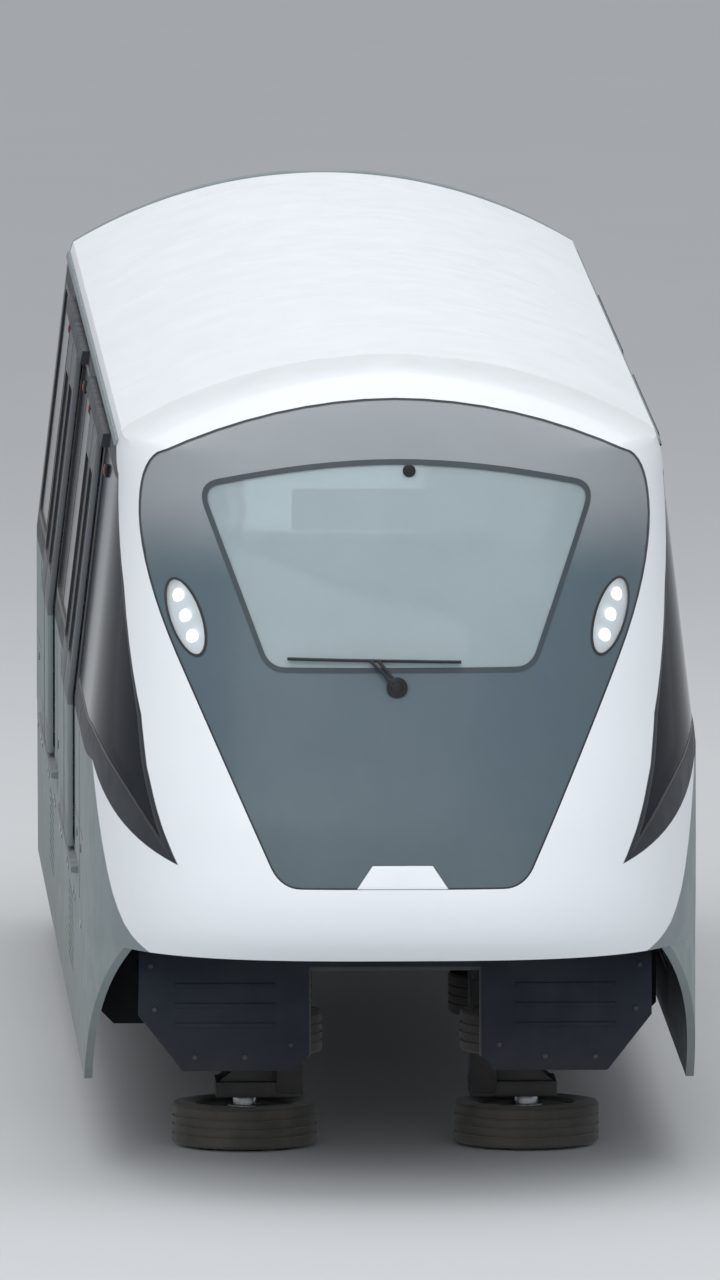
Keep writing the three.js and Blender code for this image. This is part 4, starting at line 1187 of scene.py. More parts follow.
def build_rear_end():
    rings = []
    count = FOLDS * FOLD_STEPS
    for i in range(count + 1):
        depth = 0.5 + 0.5 * math.cos(2 * math.pi * i / FOLD_STEPS)
        y = BELLOWS_START + (BELLOWS_END - BELLOWS_START) * i / count
        section = body_section(BELLOWS_OUT + (BELLOWS_IN - BELLOWS_OUT) * depth)
        rings.append([(x, y, z) for x, z in section])
    hole = prism(body_section(BELLOWS_HOLE), "y", BELLOWS_START - 0.01, BELLOWS_END + 0.01)
    piece("gangway_folds", carved(loft(rings), hole), BELLOWS, replaces="gangway_bellows", smooth=60)
    frames = [
        hoop(body_section(BELLOWS_OUT - 0.004), body_section(BELLOWS_HOLE - 0.002), y, y + 0.012)
        for y in (BELLOWS_START + 0.002, BELLOWS_END - 0.014)
    ]
    piece("gangway_frames", frames, BARE_STEEL)
    bolts = []
    for sign in BOTH:
        for z in [0.5 + k * 0.19 for k in range(12)]:
            x = sign * (half_width_at(z) - 0.03)
            bolts.append(disc(0.012, 0.006, "y", (x, WALL_Y + 0.003, z), 12, 0.002))
    piece("end_wall_bolts", bolts, BARE_STEEL)
    lining = hoop(
        doorway(0.58, 0.02, 2.45, 0.12), doorway(0.545, -0.002, 2.415, 0.11), REAR_Y - 0.004, WALL_Y + 0.004)
    piece("gangway_lining", lining, BARE_STEEL)
    passage = [hoop(
        doorway(0.615, 0.03, 2.475, 0.14), doorway(0.6, 0.015, 2.46, 0.13), WALL_Y + 0.0045,
        BELLOWS_END - 0.02,
    )]
    for y in [WALL_Y + 0.05 + k * 0.06 for k in range(4)]:
        passage.append(hoop(
            doorway(0.628, 0.043, 2.488, 0.145), doorway(0.61, 0.02, 2.47, 0.135), y, y + 0.012))
    piece("gangway_passage", passage, INNER_PANEL, slot="bellows_rubber")
    bridge = block(-0.59, 0.59, WALL_Y + 0.006, BELLOWS_END - 0.03, FLOOR_Z - 0.014, FLOOR_Z - 0.002, 0.003)
    piece("gangway_bridge_plate", bridge, BARE_STEEL)


# Doors
LEAF_WIDTH = 0.78
LEAF_BOTTOM = 0.38
LEAF_TOP = 2.465


def build_doors():
    for end, door_y in DOOR_YS.items():
        for side, sign in SIDES.items():
            for number, along in ((1, -1), (2, 1)):
                build_leaf(
                    f"leaf_{end[0]}{side[0]}{number}", f"{end}_{side}_{number}",
                    Matrix.Translation((0, door_y, 0)) @ Matrix.Diagonal((sign, along, 1, 1)),
                )


def build_leaf(body, tag, turn):
    """One door leaf; turn puts it on its own side of the car and of the doorway."""

    def leaf_piece(name, parts, look, **options):
        piece(f"door_{name}_{tag}", [moved(part, turn) for part in parts], look, body, **options)

    panel = softened(strip(0.003, LEAF_WIDTH, LEAF_BOTTOM, LEAF_TOP, 0.0365, LEAF_IN), 0.006, 60)
    panel = carved(panel, side_prism(rounded(*LEAF_WINDOW)))
    leaf_piece("panel", [panel], DOOR_PAINT, replaces=f"door_leaf_{tag}")
    leaf_piece("glass", [window_part(LEAF_WINDOW, 0.028, 0.018, -0.001)], SIDE_GLASS)
    leaf_piece("seal", [window_part(LEAF_WINDOW, 0.0385, 0.012, 0.006, 0.016)], SEAL)
    lip = strip(0.0034, 0.022, LEAF_BOTTOM + 0.005, LEAF_TOP - 0.005, 0.038, 0.0068)
    leaf_piece("lip", [softened(lip, 0.003, 60)], SEAL)
    leaf_piece("kick_plate", [strip(0.06, 0.74, 0.4, 0.52, 0.0378, 0.036)], DULL_STEEL)
    hangers = [strip(y - 0.04, y + 0.04, 2.4, 2.45, 0.039, 0.036) for y in (0.16, 0.62)]
    leaf_piece("hangers", hangers, DULL_STEEL)


# Wheels
LOAD_TYRE_CENTRES = (-0.172, 0.172)
LOAD_RIM = [
    (0.06, 0.1), (0.15, 0.1), (0.17, 0.075), (0.235, 0.065), (0.28, 0.09), (0.3, 0.135), (0.322, 0.14),
    (0.328, 0.128), (0.31, 0.118), (0.31, -0.118), (0.295, -0.118), (0.29, 0.06), (0.235, 0.04), (0.06, 0.05),
]
SIDE_RIM = [
    (0.0655, 0.068), (0.11, 0.068), (0.12, 0.04), (0.18, 0.03), (0.21, 0.055), (0.23, 0.07), (0.24, 0.08),
    (0.234, 0.05), (0.228, 0.045),
]
LOAD_BOLTS = ((0.115, 0.106, 0.013, 0.014, 0), (0.2, 0.074, 0.009, 0.012, 0.3))


def build_load_wheels():
    for end, axle_y in AXLE_YS.items():
        tyres, rims, bolts = [], [], []
        for x in LOAD_TYRE_CENTRES:
            centre = (x, axle_y, LOAD_RADIUS)
            out = 1 if x > 0 else -1
            tyres.append(lathe(tyre_profile(LOAD_RADIUS, 0.152, 0.318, 0.04, 5), "x", centre, 96))
            rims.append(lathe([(r, out * h) for r, h in LOAD_RIM], "x", centre, 72))
            for ring, proud, size, height, phase in LOAD_BOLTS:
                place = (x + proud * out, axle_y, LOAD_RADIUS)
                bolts += nut_circle(ring, 10, "x", place, size, height, phase)
        body = f"axle_{end}"
        piece(f"load_tyres_{end}", tyres, TYRE, body, f"load_wheels_{end}")
        piece(f"load_rims_{end}", rims, RIM_METAL, body)
        piece(f"load_wheel_bolts_{end}", bolts, BARE_STEEL, body)
        shaft = [disc(0.0575, 1.14, "x", (0, axle_y, LOAD_RADIUS), 48, 0.006)]
        shaft += [disc(0.085, 0.05, "x", (s * 0.315, axle_y, LOAD_RADIUS), 40, 0.006) for s in BOTH]
        piece(f"axle_shaft_{end}", shaft, BARE_STEEL, body)


def build_side_wheel(name, body, gone, centre):
    x, y, z = centre
    tyre = lathe(tyre_profile(GUIDE_RADIUS, 0.109, 0.236, 0.03, 3, 0.007), "z", centre, 80)
    rim = lathe([*[(r, -h) for r, h in SIDE_RIM], *SIDE_RIM[::-1]], "z", centre, 56)
    bolts = []
    for up in BOTH:
        bolts += nut_circle(0.15, 8, "z", (x, y, z + up * 0.042), 0.01, 0.014)
    piece(f"{name}_tyre", tyre, TYRE, body, gone)
    piece(f"{name}_rim", rim, RIM_METAL, body)
    piece(f"{name}_bolts", bolts, BARE_STEEL, body)


def build_side_wheels():
    for end, axle_y in AXLE_YS.items():
        for side, sign in SIDES.items():
            x = sign * SIDE_WHEEL_X
            here, tag = f"{end}_{side}", f"{end[0]}{side[0]}"
            for number, along in ((1, -1), (2, 1)):
                build_side_wheel(
                    f"guide_{here}_{number}", f"guide_{tag}{number}", f"guide_wheel_{here}_{number}",
                    (x, axle_y + along * GUIDE_Y, GUIDE_Z),
                )
            build_side_wheel(
                f"stabiliser_{here}", f"stabiliser_{tag}", f"stabiliser_wheel_{here}",
                (x, axle_y, STABILISER_Z),
            )


# Bogies
PIN_RADIUS = 0.058
BOGIE_BEAM = [
    (-1.05, 0.02), (-1.05, 0.12), (-1.03, 0.14), (1.03, 0.14), (1.05, 0.12), (1.05, 0.02), (0.95, -0.04),
    (-0.95, -0.04),
]
BOGIE_LEG = [(-0.3, 0.0), (0.3, 0.0), (0.3, -0.2), (0.19, -0.7), (-0.19, -0.7), (-0.3, -0.2)]
PEDESTAL = [(-0.15, 0.1), (-0.15, 0.56), (-0.08, 0.65), (0.08, 0.65), (0.15, 0.56), (0.15, 0.1)]
SPRING_X = 1.04
SPRING_STEPS = 32


def bogie_half():
    """The left half of a bogie's welded frame, seen from its own axle."""
    parts = [
        prism(BOGIE_BEAM, "x", 0.4, 0.56), prism(BOGIE_LEG, "x", 0.425, 0.555),
        block(0.42, 0.86, -0.18, 0.18, -0.72, -0.64), block(0.55, 1.25, -0.22, 0.22, -0.15, -0.06),
    ]
    parts += [block(0.4, 0.82, y - 0.12, y + 0.12, -0.035, 0.075) for y in (-GUIDE_Y, GUIDE_Y)]
    parts = [softened(part, 0.01) for part in parts]
    bore = disc(0.066, 0.4, "x", (0.48, 0, LOAD_RADIUS), 40)
    parts.append(carved(prism(PEDESTAL, "x", 0.405, 0.555), bore))

    def rib(points, y, half):
        parts.append(prism(points, "y", y - half, y + half))

    for side in BOTH:
        rib([(0.55, -0.64), (0.84, -0.64), (0.55, -0.4)], side * 0.14, 0.008)
        rib([(0.55, -0.15), (1.1, -0.15), (0.55, -0.36)], side * 0.17, 0.008)
        parts.append(prism([(side * 0.14, 0.14), (side * 0.14, 0.34), (side * 0.34, 0.14)], "x", 0.47, 0.486))
        for y in (-GUIDE_Y, GUIDE_Y):
            rib([(0.55, 0.07), (0.76, 0.07), (0.55, 0.135)], y + side * 0.09, 0.006)
    for y in (-0.62, -0.42, 0.42, 0.62):
        parts.append(block(0.56, 0.566, y - 0.05, y + 0.05, -0.02, 0.12, 0.002))
    return parts


def side_pins():
    """Upright pins of the left half with their washers and nuts."""
    parts = []
    for y, low, high, hub_z, nut_z, nut_height in (
        (-GUIDE_Y, -0.4, -0.02, GUIDE_Z, 0.088, 0.026), (GUIDE_Y, -0.4, -0.02, GUIDE_Z, 0.088, 0.026),
        (0, -0.96, -0.7, STABILISER_Z, -0.955, 0.02),
    ):
        parts.append(disc(PIN_RADIUS, high - low, "z", (SIDE_WHEEL_X, y, (low + high) / 2), 40, 0.004))
        for up in BOTH:
            parts.append(disc(0.085, 0.014, "z", (SIDE_WHEEL_X, y, hub_z + up * 0.083), 36, 0.003))
        parts.append(nut(0.045, nut_height, "z", (SIDE_WHEEL_X, y, nut_z)))
        if hub_z == GUIDE_Z:
            parts += nut_circle(0.085, 8, "z", (SIDE_WHEEL_X, y, 0.078), 0.011, 0.012, bevel=0.002)
    for radius, height, z, sides, bevel in (
        (0.2, 0.014, 0.188, 48, 0.004), (0.19, 0.012, -0.055, 48, 0.004), (0.05, 0.016, 0.202, 24, 0.003),
    ):
        parts.append(disc(radius, height, "z", (SPRING_X, 0, z), sides, bevel))
    return parts


def air_spring():
    profile = [(0.0, -0.056), (0.12, -0.056)]
    for t in [i / SPRING_STEPS for i in range(SPRING_STEPS + 1)]:
        profile.append((0.165 + 0.03 * (0.5 - 0.5 * math.cos(4 * math.pi * t)), -0.05 + 0.225 * t))
    profile += [(0.12, 0.18), (0.0, 0.18)]
    return [lathe(profile, "z", (SPRING_X, 0, 0), 56, closed=False)]


def axle_caps():
    flange = [(0.068, 0.556), (0.14, 0.556), (0.14, 0.574), (0.068, 0.574)]
    return [
        disc(0.11, 0.02, "x", (0.588, 0, LOAD_RADIUS), 48, 0.005),
        lathe(flange, "x", (0, 0, LOAD_RADIUS), 48),
        *nut_circle(0.125, 10, "x", (0.578, 0, LOAD_RADIUS), 0.009, 0.01),
    ]


def bogie_pipes():
    runs = (
        (0.007, [(-1.0, 0.1), (-0.2, 0.1), (-0.17, 0.07), (0.17, 0.07), (0.2, 0.1), (1.0, 0.1)]),
        (0.006, [(-0.7, 0.06), (-0.25, 0.06), (-0.22, 0.03), (-0.2, -0.02), (-0.12, -0.04)]),
    )
    return [tube([(0.574, y, z) for y, z in run], radius) for radius, run in runs]


def build_bogies():
    for end, axle_y in AXLE_YS.items():
        there = Matrix.Translation((0, axle_y, 0))

        def both(make, there=there):
            return [moved(on_side(part, sign), there) for sign in SIDES.values() for part in make()]

        frame_parts, steel = both(bogie_half), both(side_pins)
        for y in (axle_y - 0.72, axle_y + 0.72):
            frame_parts.append(block(-0.47, 0.47, y - 0.1, y + 0.1, 0.03, 0.14, 0.012))
            steel += [nut(0.014, 0.012, "z", (x, y, 0.144)) for x in (-0.3, 0.0, 0.3)]
        body = f"bogie_{end}"
        piece(f"bogie_weldment_{end}", frame_parts, DARK_METAL, body, f"bogie_frame_{end}")
        piece(f"bogie_fastenings_{end}", steel, BARE_STEEL, body)
        piece(f"air_springs_{end}", both(air_spring), TYRE, body, smooth=60)
        piece(f"axle_covers_{end}", both(axle_caps), RIM_METAL, body)
        piece(f"bogie_pipes_{end}", both(bogie_pipes), BARE_STEEL, body)


def build_collectors():
    y0, z0 = AXLE_YS["rear"], -0.535
    for side in SIDES:
        wedge = [(y0 + 0.32, -0.555), (y0 + 0.32, -0.515), (y0 + 0.455, -0.525), (y0 + 0.455, -0.545)]
        arm = [
            block(0.43, 0.535, y0 + 0.303, y0 + 0.325, -0.585, -0.485, 0.004),
            prism(wedge, "x", 0.46, 0.5),
            tube([(0.49, y0 + 0.43, z0), (0.445, y0 + 0.43, z0), (0.405, y0 + 0.42, z0)], 0.014, 14),
        ]
        ribs = [disc(0.03, 0.008, "x", (0.425 + k * 0.016, y0 + 0.425, z0), 28, 0.003) for k in range(4)]
        holder = [block(0.374, 0.39, y0 + 0.345, y0 + 0.445, -0.56, -0.51, 0.003)]
        holder += [nut(0.012, 0.018, "x", (0.396, y, z0)) for y in (y0 + 0.37, y0 + 0.42)]
        shoe = block(0.352, 0.374, y0 + 0.335, y0 + 0.455, -0.57, -0.5, 0.006)
        sided(side, "collector_arm", arm, DARK_METAL, "collector", body="bogie_rear")
        sided(side, "collector_insulator", ribs, BELLOWS, body="bogie_rear", slot="fittings_plastic")
        sided(side, "collector_holder", holder, BARE_STEEL, body="bogie_rear")
        sided(side, "collector_shoe", shoe, COPPER, body="bogie_rear")


# Below the floor
APRON_Y = -6.1
APRON_THICK = 0.07
APRON_BOLTS = (
    (0.55, 0.16), (0.8, 0.16), (1.05, 0.16), (1.22, 0.1), (0.52, -0.3), (0.75, -0.36), (1.0, -0.36),
    (1.2, -0.12),
)
CASE_BOTTOM = -0.54
CASE_SECTION = [
    (0.56, SILL_Z - GAP), (0.56, -0.42), (0.68, CASE_BOTTOM), (1.33, CASE_BOTTOM), (1.43, -0.44),
    (1.43, SILL_Z - GAP),
]
CASE_HALF = 2.95
CASE_SEAMS = (-1.97, -0.98, 0.0, 0.98, 1.97)
CASE_VENTS = (-2.45, -1.47, 1.47, 2.45)
CASE_LIDS = (-2.45, -1.47, -0.49, 0.49, 1.47, 2.45)
PIPES = ((0.5, 0.195, 0.014), (0.46, 0.2, 0.01))
PIPE_CLIPS = (-3.3, -1.9, -0.6, 0.6, 1.9, 3.3)
DRAWBAR_Y = 5.6
DRAWBAR_Z = 0.105
FLANGE_Z = 0.11
BUFFER_YS = (5.93, 5.98, 6.03, 6.08)


def build_apron():
    half = [(0.43, 0.09), (0.43, -0.35), (0.49, -0.43), (1.06, -0.43), (1.28, -0.15), (1.28, SILL_Z - GAP)]
    plate = prism([(-x, z) for x, z in half[::-1]] + half, "y", APRON_Y, APRON_Y + APRON_THICK)
    piece("front_apron_panel", softened(plate, 0.008), UNDER_PAINT_AND_SHADE, replaces="front_apron")
    lip = [(0.425, 0.09), (0.44, 0.075), (0.44, -0.36)]
    path = [(x, APRON_Y + 0.035, z) for x, z in [*[(-x, z) for x, z in lip[::-1]], *lip]]
    piece("apron_beam_lip", tube(path, 0.02, 12), SEAL)
    bolts = [nut(0.014, 0.008, "y", (side * x, APRON_Y - 0.003, z)) for side in BOTH for x, z in APRON_BOLTS]
    piece("apron_fastenings", bolts, DARK_METAL, slot="bare_steel")
    ribs = [
        on_side(block(0.6, 1.1, APRON_Y - 0.006, APRON_Y + 0.002, z - 0.012, z + 0.012, 0.003), sign)
        for sign in BOTH for z in (-0.2, -0.1, 0.0)
    ]
    piece("apron_ribs", ribs, UNDER_PAINT_AND_SHADE)


def build_equipment():
    for side in SIDES:
        cutters = [seam_cutter(CASE_SECTION, y, 0.008) for y in CASE_SEAMS]
        for y in CASE_VENTS:
            for z in [k * 0.05 - 0.36 for k in range(8)]:
                cutters.append(block(0.5, 0.575, y - 0.36, y + 0.36, z, z + 0.022))
        case = carved(prism(CASE_SECTION, "y", -CASE_HALF, CASE_HALF), *cutters)
        sided(side, "equipment_casing", case, UNDER_PAINT_AND_SHADE, "equipment_case")
        handles, locks = [], []
        for y in CASE_LIDS:
            bow = ((-0.08, 0.002), (-0.07, -0.016), (0.07, -0.016), (0.08, 0.002))
            handles.append(tube([(0.8, y + dy, CASE_BOTTOM + dz) for dy, dz in bow], 0.006))
            for dy in (-0.42, 0.42):
                locks += [nut(0.018, 0.008, "z", (x, y + dy, CASE_BOTTOM - 0.003)) for x in (0.76, 1.25)]
        sided(side, "equipment_handles", handles, BLACK_PLASTIC)
        sided(side, "equipment_locks", locks, BARE_STEEL)
        pipes = [
            tube([(x, y, z) for y in (-3.6, 0, 3.6)], radius, 12)
            for x, z, radius in PIPES
        ]
        for y in PIPE_CLIPS:
            pipes.append(block(0.44, 0.525, y - 0.012, y + 0.012, 0.178, 0.2195, 0.003))
        sided(side, "floor_pipes", pipes, BARE_STEEL)


def build_drawbar():
    def ring(profile):
        return profile + [(r, -h) for r, h in profile[::-1] if h]

    body = "drawbar_body"
    eye = ring([(0.036, -0.042), (0.066, -0.042), (0.07, -0.036)])
    bar = [
        block(-0.05, 0.05, DRAWBAR_Y + 0.04, 5.86, 0.065, 0.145, 0.012),
        disc(0.058, 0.3, "y", (0, 5.99, DRAWBAR_Z), 40, 0.006),
        block(-0.125, 0.125, 6.212, 6.249, FLANGE_Z - 0.075, FLANGE_Z + 0.075, 0.008),
        disc(0.075, 0.03, "y", (0, 6.2, FLANGE_Z), 36, 0.004),
        lathe(eye, "z", (0, DRAWBAR_Y, DRAWBAR_Z), 48),
    ]
    piece("drawbar_rod", bar, DARK_METAL, body, "drawbar")
    buffer = ring([(0.05, -0.022), (0.078, -0.02), (0.084, 0)])
    rings = [lathe(buffer, "y", (0, y, DRAWBAR_Z), 48) for y in BUFFER_YS]
    piece("drawbar_buffer_rings", rings, TYRE, body)
    bolts = [
        nut(0.013, 0.012, "y", (x, 6.207, FLANGE_Z + dz)) for x in (-0.1, 0.1) for dz in (-0.05, 0, 0.05)
    ]
    piece("drawbar_bolts", bolts, BARE_STEEL, body)


# Inside the saloon and the cab
FLOOR_TOP = FLOOR_Z + GAP
SEAT_WIDTH = 0.44
SEAT_STATIONS = 12
HOUSING_HALF_X = 0.7
HOUSING_HALF_Y = 0.72
HOUSING_TOP = 1.15
RAIL_X = 0.7
RAIL_Z = 2.25
RAIL_RADIUS = 0.0175
POLE_YS = (-3.09, 0, 3.09)
LOOP_Z = 2.085
DOORWAY_HALF = 0.75
DOORWAY_TOP = 2.32
LINING_ENDS = (CAB_END_Y + 0.01, REAR_Y - 0.01)
CONSOLE_HALF = 0.95
CONSOLE_BACK = -6.35
CONSOLE_TOP = 1.48
DISPLAY_TILT = math.radians(-32)
LEVER_X = 0.48


def seat_shell(depth, rise, recline):
    """A moulded seat: x across, y from the back to the front edge, z up from the pan."""
    side = curved(
        (depth, -0.03), (depth, 0.0, depth - 0.04, 0.0), (depth * 0.6, -0.008), (depth * 0.3, -0.012),
        (0.03, -0.012, 0.02, 0.06), (0.02 - recline * 0.5, rise * 0.55), (0.02 - recline, rise - 0.02),
        (0.02 - recline, rise, -0.012 - recline, rise), steps=5,
    )
    outline = thickened(side, 0.014)
    rings = []
    for i in range(SEAT_STATIONS + 1):
        u = -1 + 2 * i / SEAT_STATIONS
        lift = abs(u) ** 3
        ring = []
        for y, z in outline:
            up = min(1.0, max(0.0, z / rise))
            x = u * SEAT_WIDTH / 2 * (1 - 0.1 * up**3)
            ring.append((x, y + 0.022 * lift * up, z + 0.016 * lift * (1 - up)))
        rings.append(ring)
    return softened(loft(rings), 0.005, 50)


def build_housings():
    top, half = HOUSING_TOP, HOUSING_HALF_Y
    arch = [(-half, FLOOR_TOP), (half, FLOOR_TOP), (half, top - 0.06), (half - 0.06, top), (0.06 - half, top),
            (-half, top - 0.06)]
    base = [(0.705, FLOOR_TOP), (1.08, FLOOR_TOP), (1.14, 0.83), (0.705, 0.83)]
    board = [(0.665, 0.8), (0.74, 0.83), (0.695, 1.36), (0.665, 1.37)]
    for end, axle_y in AXLE_YS.items():
        cover = prism([(y + axle_y, z) for y, z in arch], "x", -HOUSING_HALF_X, HOUSING_HALF_X)
        hollow = block(-0.64, 0.64, axle_y - 0.64, axle_y + 0.64, 0.3, 1.09)
        covers = [carved(softened(cover, 0.02, 30, 3), hollow)]
        boards, shells, handles = [], [], []
        for facing in ((1, -1) if end == "front" else (-1,)):
            turn = Matrix.Translation((0, axle_y, 0)) @ Matrix.Rotation(0 if facing > 0 else math.pi, 4, "Z")
            covers.append(moved(softened(prism(base, "x", -0.68, 0.68), 0.015), turn))
            boards.append(moved(softened(prism(board, "x", -0.69, 0.69), 0.008), turn))
            for x in (-0.455, 0, 0.455):
                place = turn @ Matrix.Translation((x, 0.785, 0.875))
                shells.append(moved(seat_shell(0.38, 0.5, 0.09), place))
            for x in (-0.66, 0.66):
                path = [(1, 1.25), (1, 1.375), (0.985, 1.4), (0.8, 1.4), (0.785, 1.375), (0.785, 1.3)]
                bar = [(x * share, axle_y + facing * 0.68, z) for share, z in path]
                handles.append(tube(bar, 0.011, 12))
        piece(f"housing_cover_{end}", covers, INNER_PANEL, replaces=f"wheel_housing_{end}")
        piece(f"housing_backboards_{end}", boards, CONSOLE_PLASTIC)
        piece(f"housing_seats_{end}", shells, SEAT_SHELL, smooth=50)
        piece(f"seat_handles_{end}", handles, BARE_STEEL)


def build_benches():
    wall_x = HALF_WIDTH - WALL_THICK - GAP
    arm = [(wall_x, 0.46), (wall_x, 0.84), (1.05, 0.84), (1.06, 0.8), (1.34, 0.7), (1.39, 0.46)]
    quarter_turn = Matrix.Rotation(math.pi / 2, 4, "Z")
    for side in SIDES:
        shells = []
        for y in [k * 0.45 - 1.125 for k in range(6)]:
            place = Matrix.Translation((1.4, y, 0.885)) @ quarter_turn
            shells.append(moved(seat_shell(0.4, 0.25, 0.03), place))
        supports = [block(1.04, 1.42, -1.34, 1.34, 0.83, 0.86, 0.006)]
        supports += [softened(prism(arm, "y", y - 0.03, y + 0.03), 0.006) for y in (-1.2, 0, 1.2)]
        sided(side, "bench_seats", shells, SEAT_SHELL, "bench", smooth=50)
        sided(side, "bench_supports", supports, CONSOLE_PLASTIC)


def build_rails():
    x = RAIL_X
    hoop_section = []
    for turn in [2 * math.pi * k / 10 for k in range(10)]:
        hoop_section.append((0.05 + 0.008 * math.cos(turn), 0.008 * math.sin(turn)))
    for side in SIDES:
        poles = [tube([(x, y, RAIL_Z) for y in (-3.15, 0, 3.15)], RAIL_RADIUS, 20)]
        fittings, loops, straps = [], [], []
        for y in POLE_YS:
            poles.append(tube([(x, y, FLOOR_Z + 0.003), (x, y, ceiling_z(x, 0.116))], RAIL_RADIUS, 20))
            for radius, height, z, sides, bevel in (
                (0.026, 0.07, RAIL_Z, 24, 0.004), (0.045, 0.012, FLOOR_Z + 0.0085, 28, 0.003),
                (0.04, 0.02, ceiling_z(x, 0.124), 28, 0.003),
            ):
                fittings.append(disc(radius, height, "z", (x, y, z), sides, bevel))
        for y in [sign * (0.6 + 0.5 * k) for sign in BOTH for k in range(5)]:
            straps.append(block(x - 0.012, x + 0.012, y - 0.02, y + 0.02, 2.13, 2.275, 0.004))
            loops.append(lathe(hoop_section, "y", (x, y, LOOP_Z), 32))
        sided(side, "grab_poles", poles, BARE_STEEL, "grab_rail", smooth=50)
        sided(side, "grab_fittings", fittings, DARK_METAL, smooth=50, slot="fittings_plastic")
        sided(side, "grab_straps", straps, BLACK_PLASTIC, smooth=50)
        sided(side, "grab_loops", loops, SEAT_SHELL, smooth=50, slot="fittings_plastic")


def build_ceiling():
    y0, y1 = LINING_ENDS
    piece("ceiling_panel", hoop(roof_profile(0.1005), roof_profile(0.112), y0, y1), INNER_PANEL)
    lights, frames = [], []
    z = ceiling_z(0.45, 0.115)
    for x in (-0.45, 0.45):
        lights.append(block(x - 0.05, x + 0.05, y0 + 0.3, y1 - 0.3, z - 0.03, z - 0.005, 0.004))
        frames.append(block(x - 0.06, x + 0.06, y0 + 0.28, y1 - 0.28, z - 0.024, z + 0.006, 0.003))
    grilles = [
        block(x - 0.006, x + 0.006, y0 + 0.6, y1 - 0.6, ceiling_z(x, 0.125), ceiling_z(x, 0.111))
        for x in [k * 0.05 - 0.15 for k in range(7)]
    ]
    piece("ceiling_lights", lights, CEILING_LIGHT)
    piece("ceiling_light_frames", frames, BARE_STEEL)
    piece("ceiling_grilles", grilles, CONSOLE_PLASTIC)


def build_linings():
    y0, y1 = LINING_ENDS
    wells = [block(-0.69, 0.69, axle_y - 0.71, axle_y + 0.71, 0.3, 0.6) for axle_y in AXLE_YS.values()]
    floor = block(-1.438, 1.438, -6.34, y1, FLOOR_Z + 0.0004, FLOOR_Z + 0.003)
    piece("floor_covering", carved(floor, *wells, inside=nose_block(0.066, y1 + 0.1, 0.0)), FLOOR_COVERING)
    build_ceiling()
    for side in SIDES:
        holes = [side_prism(rounded(*window)) for window in WALL_WINDOWS]
        holes.append(side_prism(FRONT_WINDOW))
        jambs = []
        for door_y in DOOR_YS.values():
            low, high = door_y - DOORWAY_HALF, door_y + DOORWAY_HALF
            holes.append(block(1.1, 1.7, low, high, 0.4, DOORWAY_TOP))
            for y in (low + 0.003, high - 0.003):
                jambs.append(strip(y - 0.002, y + 0.002, FLOOR_Z + 0.003, DOORWAY_TOP - 0.003, -0.001, -0.1))
            x = half_width_at(DOORWAY_TOP)
            for x0, x1, z0, z1 in (
                (x - 0.1, x - 0.001, DOORWAY_TOP - 0.006, DOORWAY_TOP - 0.002),
                (1.43, 1.528, FLOOR_Z + 0.0004, FLOOR_Z + 0.005),
            ):
                jambs.append(block(x0, x1, low + 0.005, high - 0.005, z0, z1))
        sheet = strip(y0, y1, FLOOR_Z + 0.004, CANTRAIL_Z - 0.12, -WALL_THICK - 0.0005, -WALL_THICK - 0.0065)
        sided(side, "wall_lining", carved(sheet, *holes), INNER_PANEL)
        sided(side, "door_jambs", jambs, BARE_STEEL)


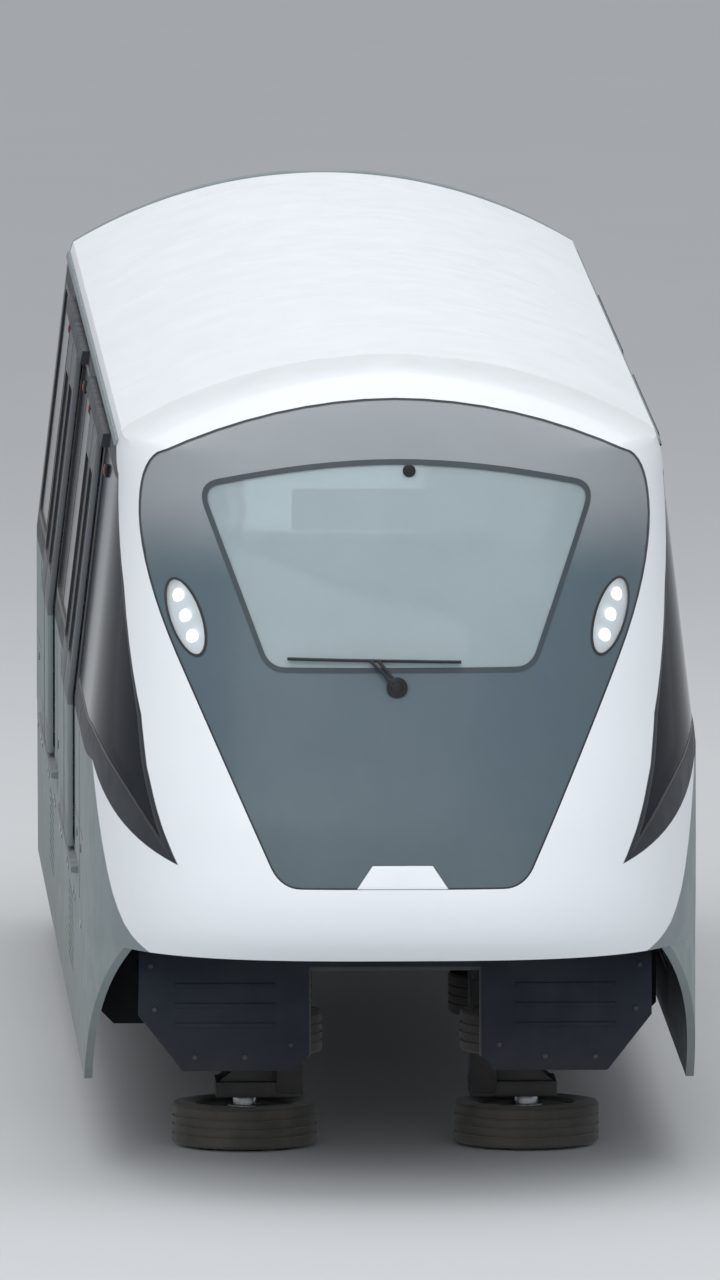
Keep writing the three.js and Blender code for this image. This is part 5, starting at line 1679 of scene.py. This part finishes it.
def build_console():
    top = CONSOLE_TOP
    box = block(-CONSOLE_HALF, CONSOLE_HALF, -7.4, CONSOLE_BACK, FLOOR_TOP, top)
    piece("console_body", carved(nose_block(0.0755, CAB_END_Y, 0.0), inside=box), CONSOLE_PLASTIC,
          replaces="front_console")
    cases, faces = [], []
    for x in (-0.7, 0.7):
        tilted = Matrix.Translation((x, -6.52, top + 0.06)) @ Matrix.Rotation(DISPLAY_TILT, 4, "X")
        cases.append(moved(block(-0.18, 0.18, -0.015, 0.015, -0.1, 0.1, 0.008), tilted))
        cases.append(block(x - 0.05, x + 0.05, -6.58, -6.5, top - 0.005, top + 0.03, 0.006))
        faces.append(moved(block(-0.16, 0.16, 0.0145, 0.0165, -0.082, 0.082), tilted))
    buttons = [
        disc(0.014, 0.01, "z", (sign * (0.52 + k * 0.06), -6.4, top + 0.005), 20, 0.003)
        for k in range(6) for sign in BOTH
    ]
    piece("console_display_cases", cases, BLACK_PLASTIC)
    piece("console_display_faces", faces, SIDE_GLASS)
    piece("console_buttons", buttons, BARE_STEEL)
    lever = [
        disc(0.03, 0.012, "z", (LEVER_X, -6.52, top + 0.006), 28, 0.003),
        tube([(LEVER_X, -6.52, top), (LEVER_X, -6.5, top + 0.07)], 0.007, 12),
        disc(0.02, 0.05, "x", (LEVER_X, -6.497, top + 0.08), 24, 0.006),
    ]
    piece("console_lever", lever, BLACK_PLASTIC)
    lid = block(-0.43, 0.43, -6.68, -6.37, 1.486, 1.506, 0.006, 3)
    piece("lid_panel", lid, BLACK_PLASTIC, "lid", "console_lid")
    path = [(-0.09, 1.5055), (-0.085, 1.518), (0.085, 1.518), (0.09, 1.5055)]
    piece("lid_grip", tube([(x, -6.39, z) for x, z in path], 0.005), BARE_STEEL, "lid")


def dress_frame():
    """Gives the CAD nodes that stay in sight their materials."""
    looks = {
        "underframe": DARK_METAL, "lower_wall": WALL_PAINT, "upper_wall": WALL_PAINT,
        "mid_window": SIDE_GLASS, "rear_window": SIDE_GLASS, "rear_end_wall": SILVER_PAINT,
    }
    for name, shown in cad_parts.items():
        for start, look in looks.items():
            if name.startswith(start):
                shown.data.materials.clear()
                shown.data.materials.append(look)


for build in (
    build_nose, build_lamps, build_wiper, build_display, build_roof, build_walls, build_skirts,
    build_rear_end, build_doors, build_load_wheels, build_side_wheels, build_bogies, build_collectors,
    build_apron, build_equipment, build_drawbar, build_housings, build_benches, build_rails,
    build_linings, build_console, dress_frame,
):
    build()
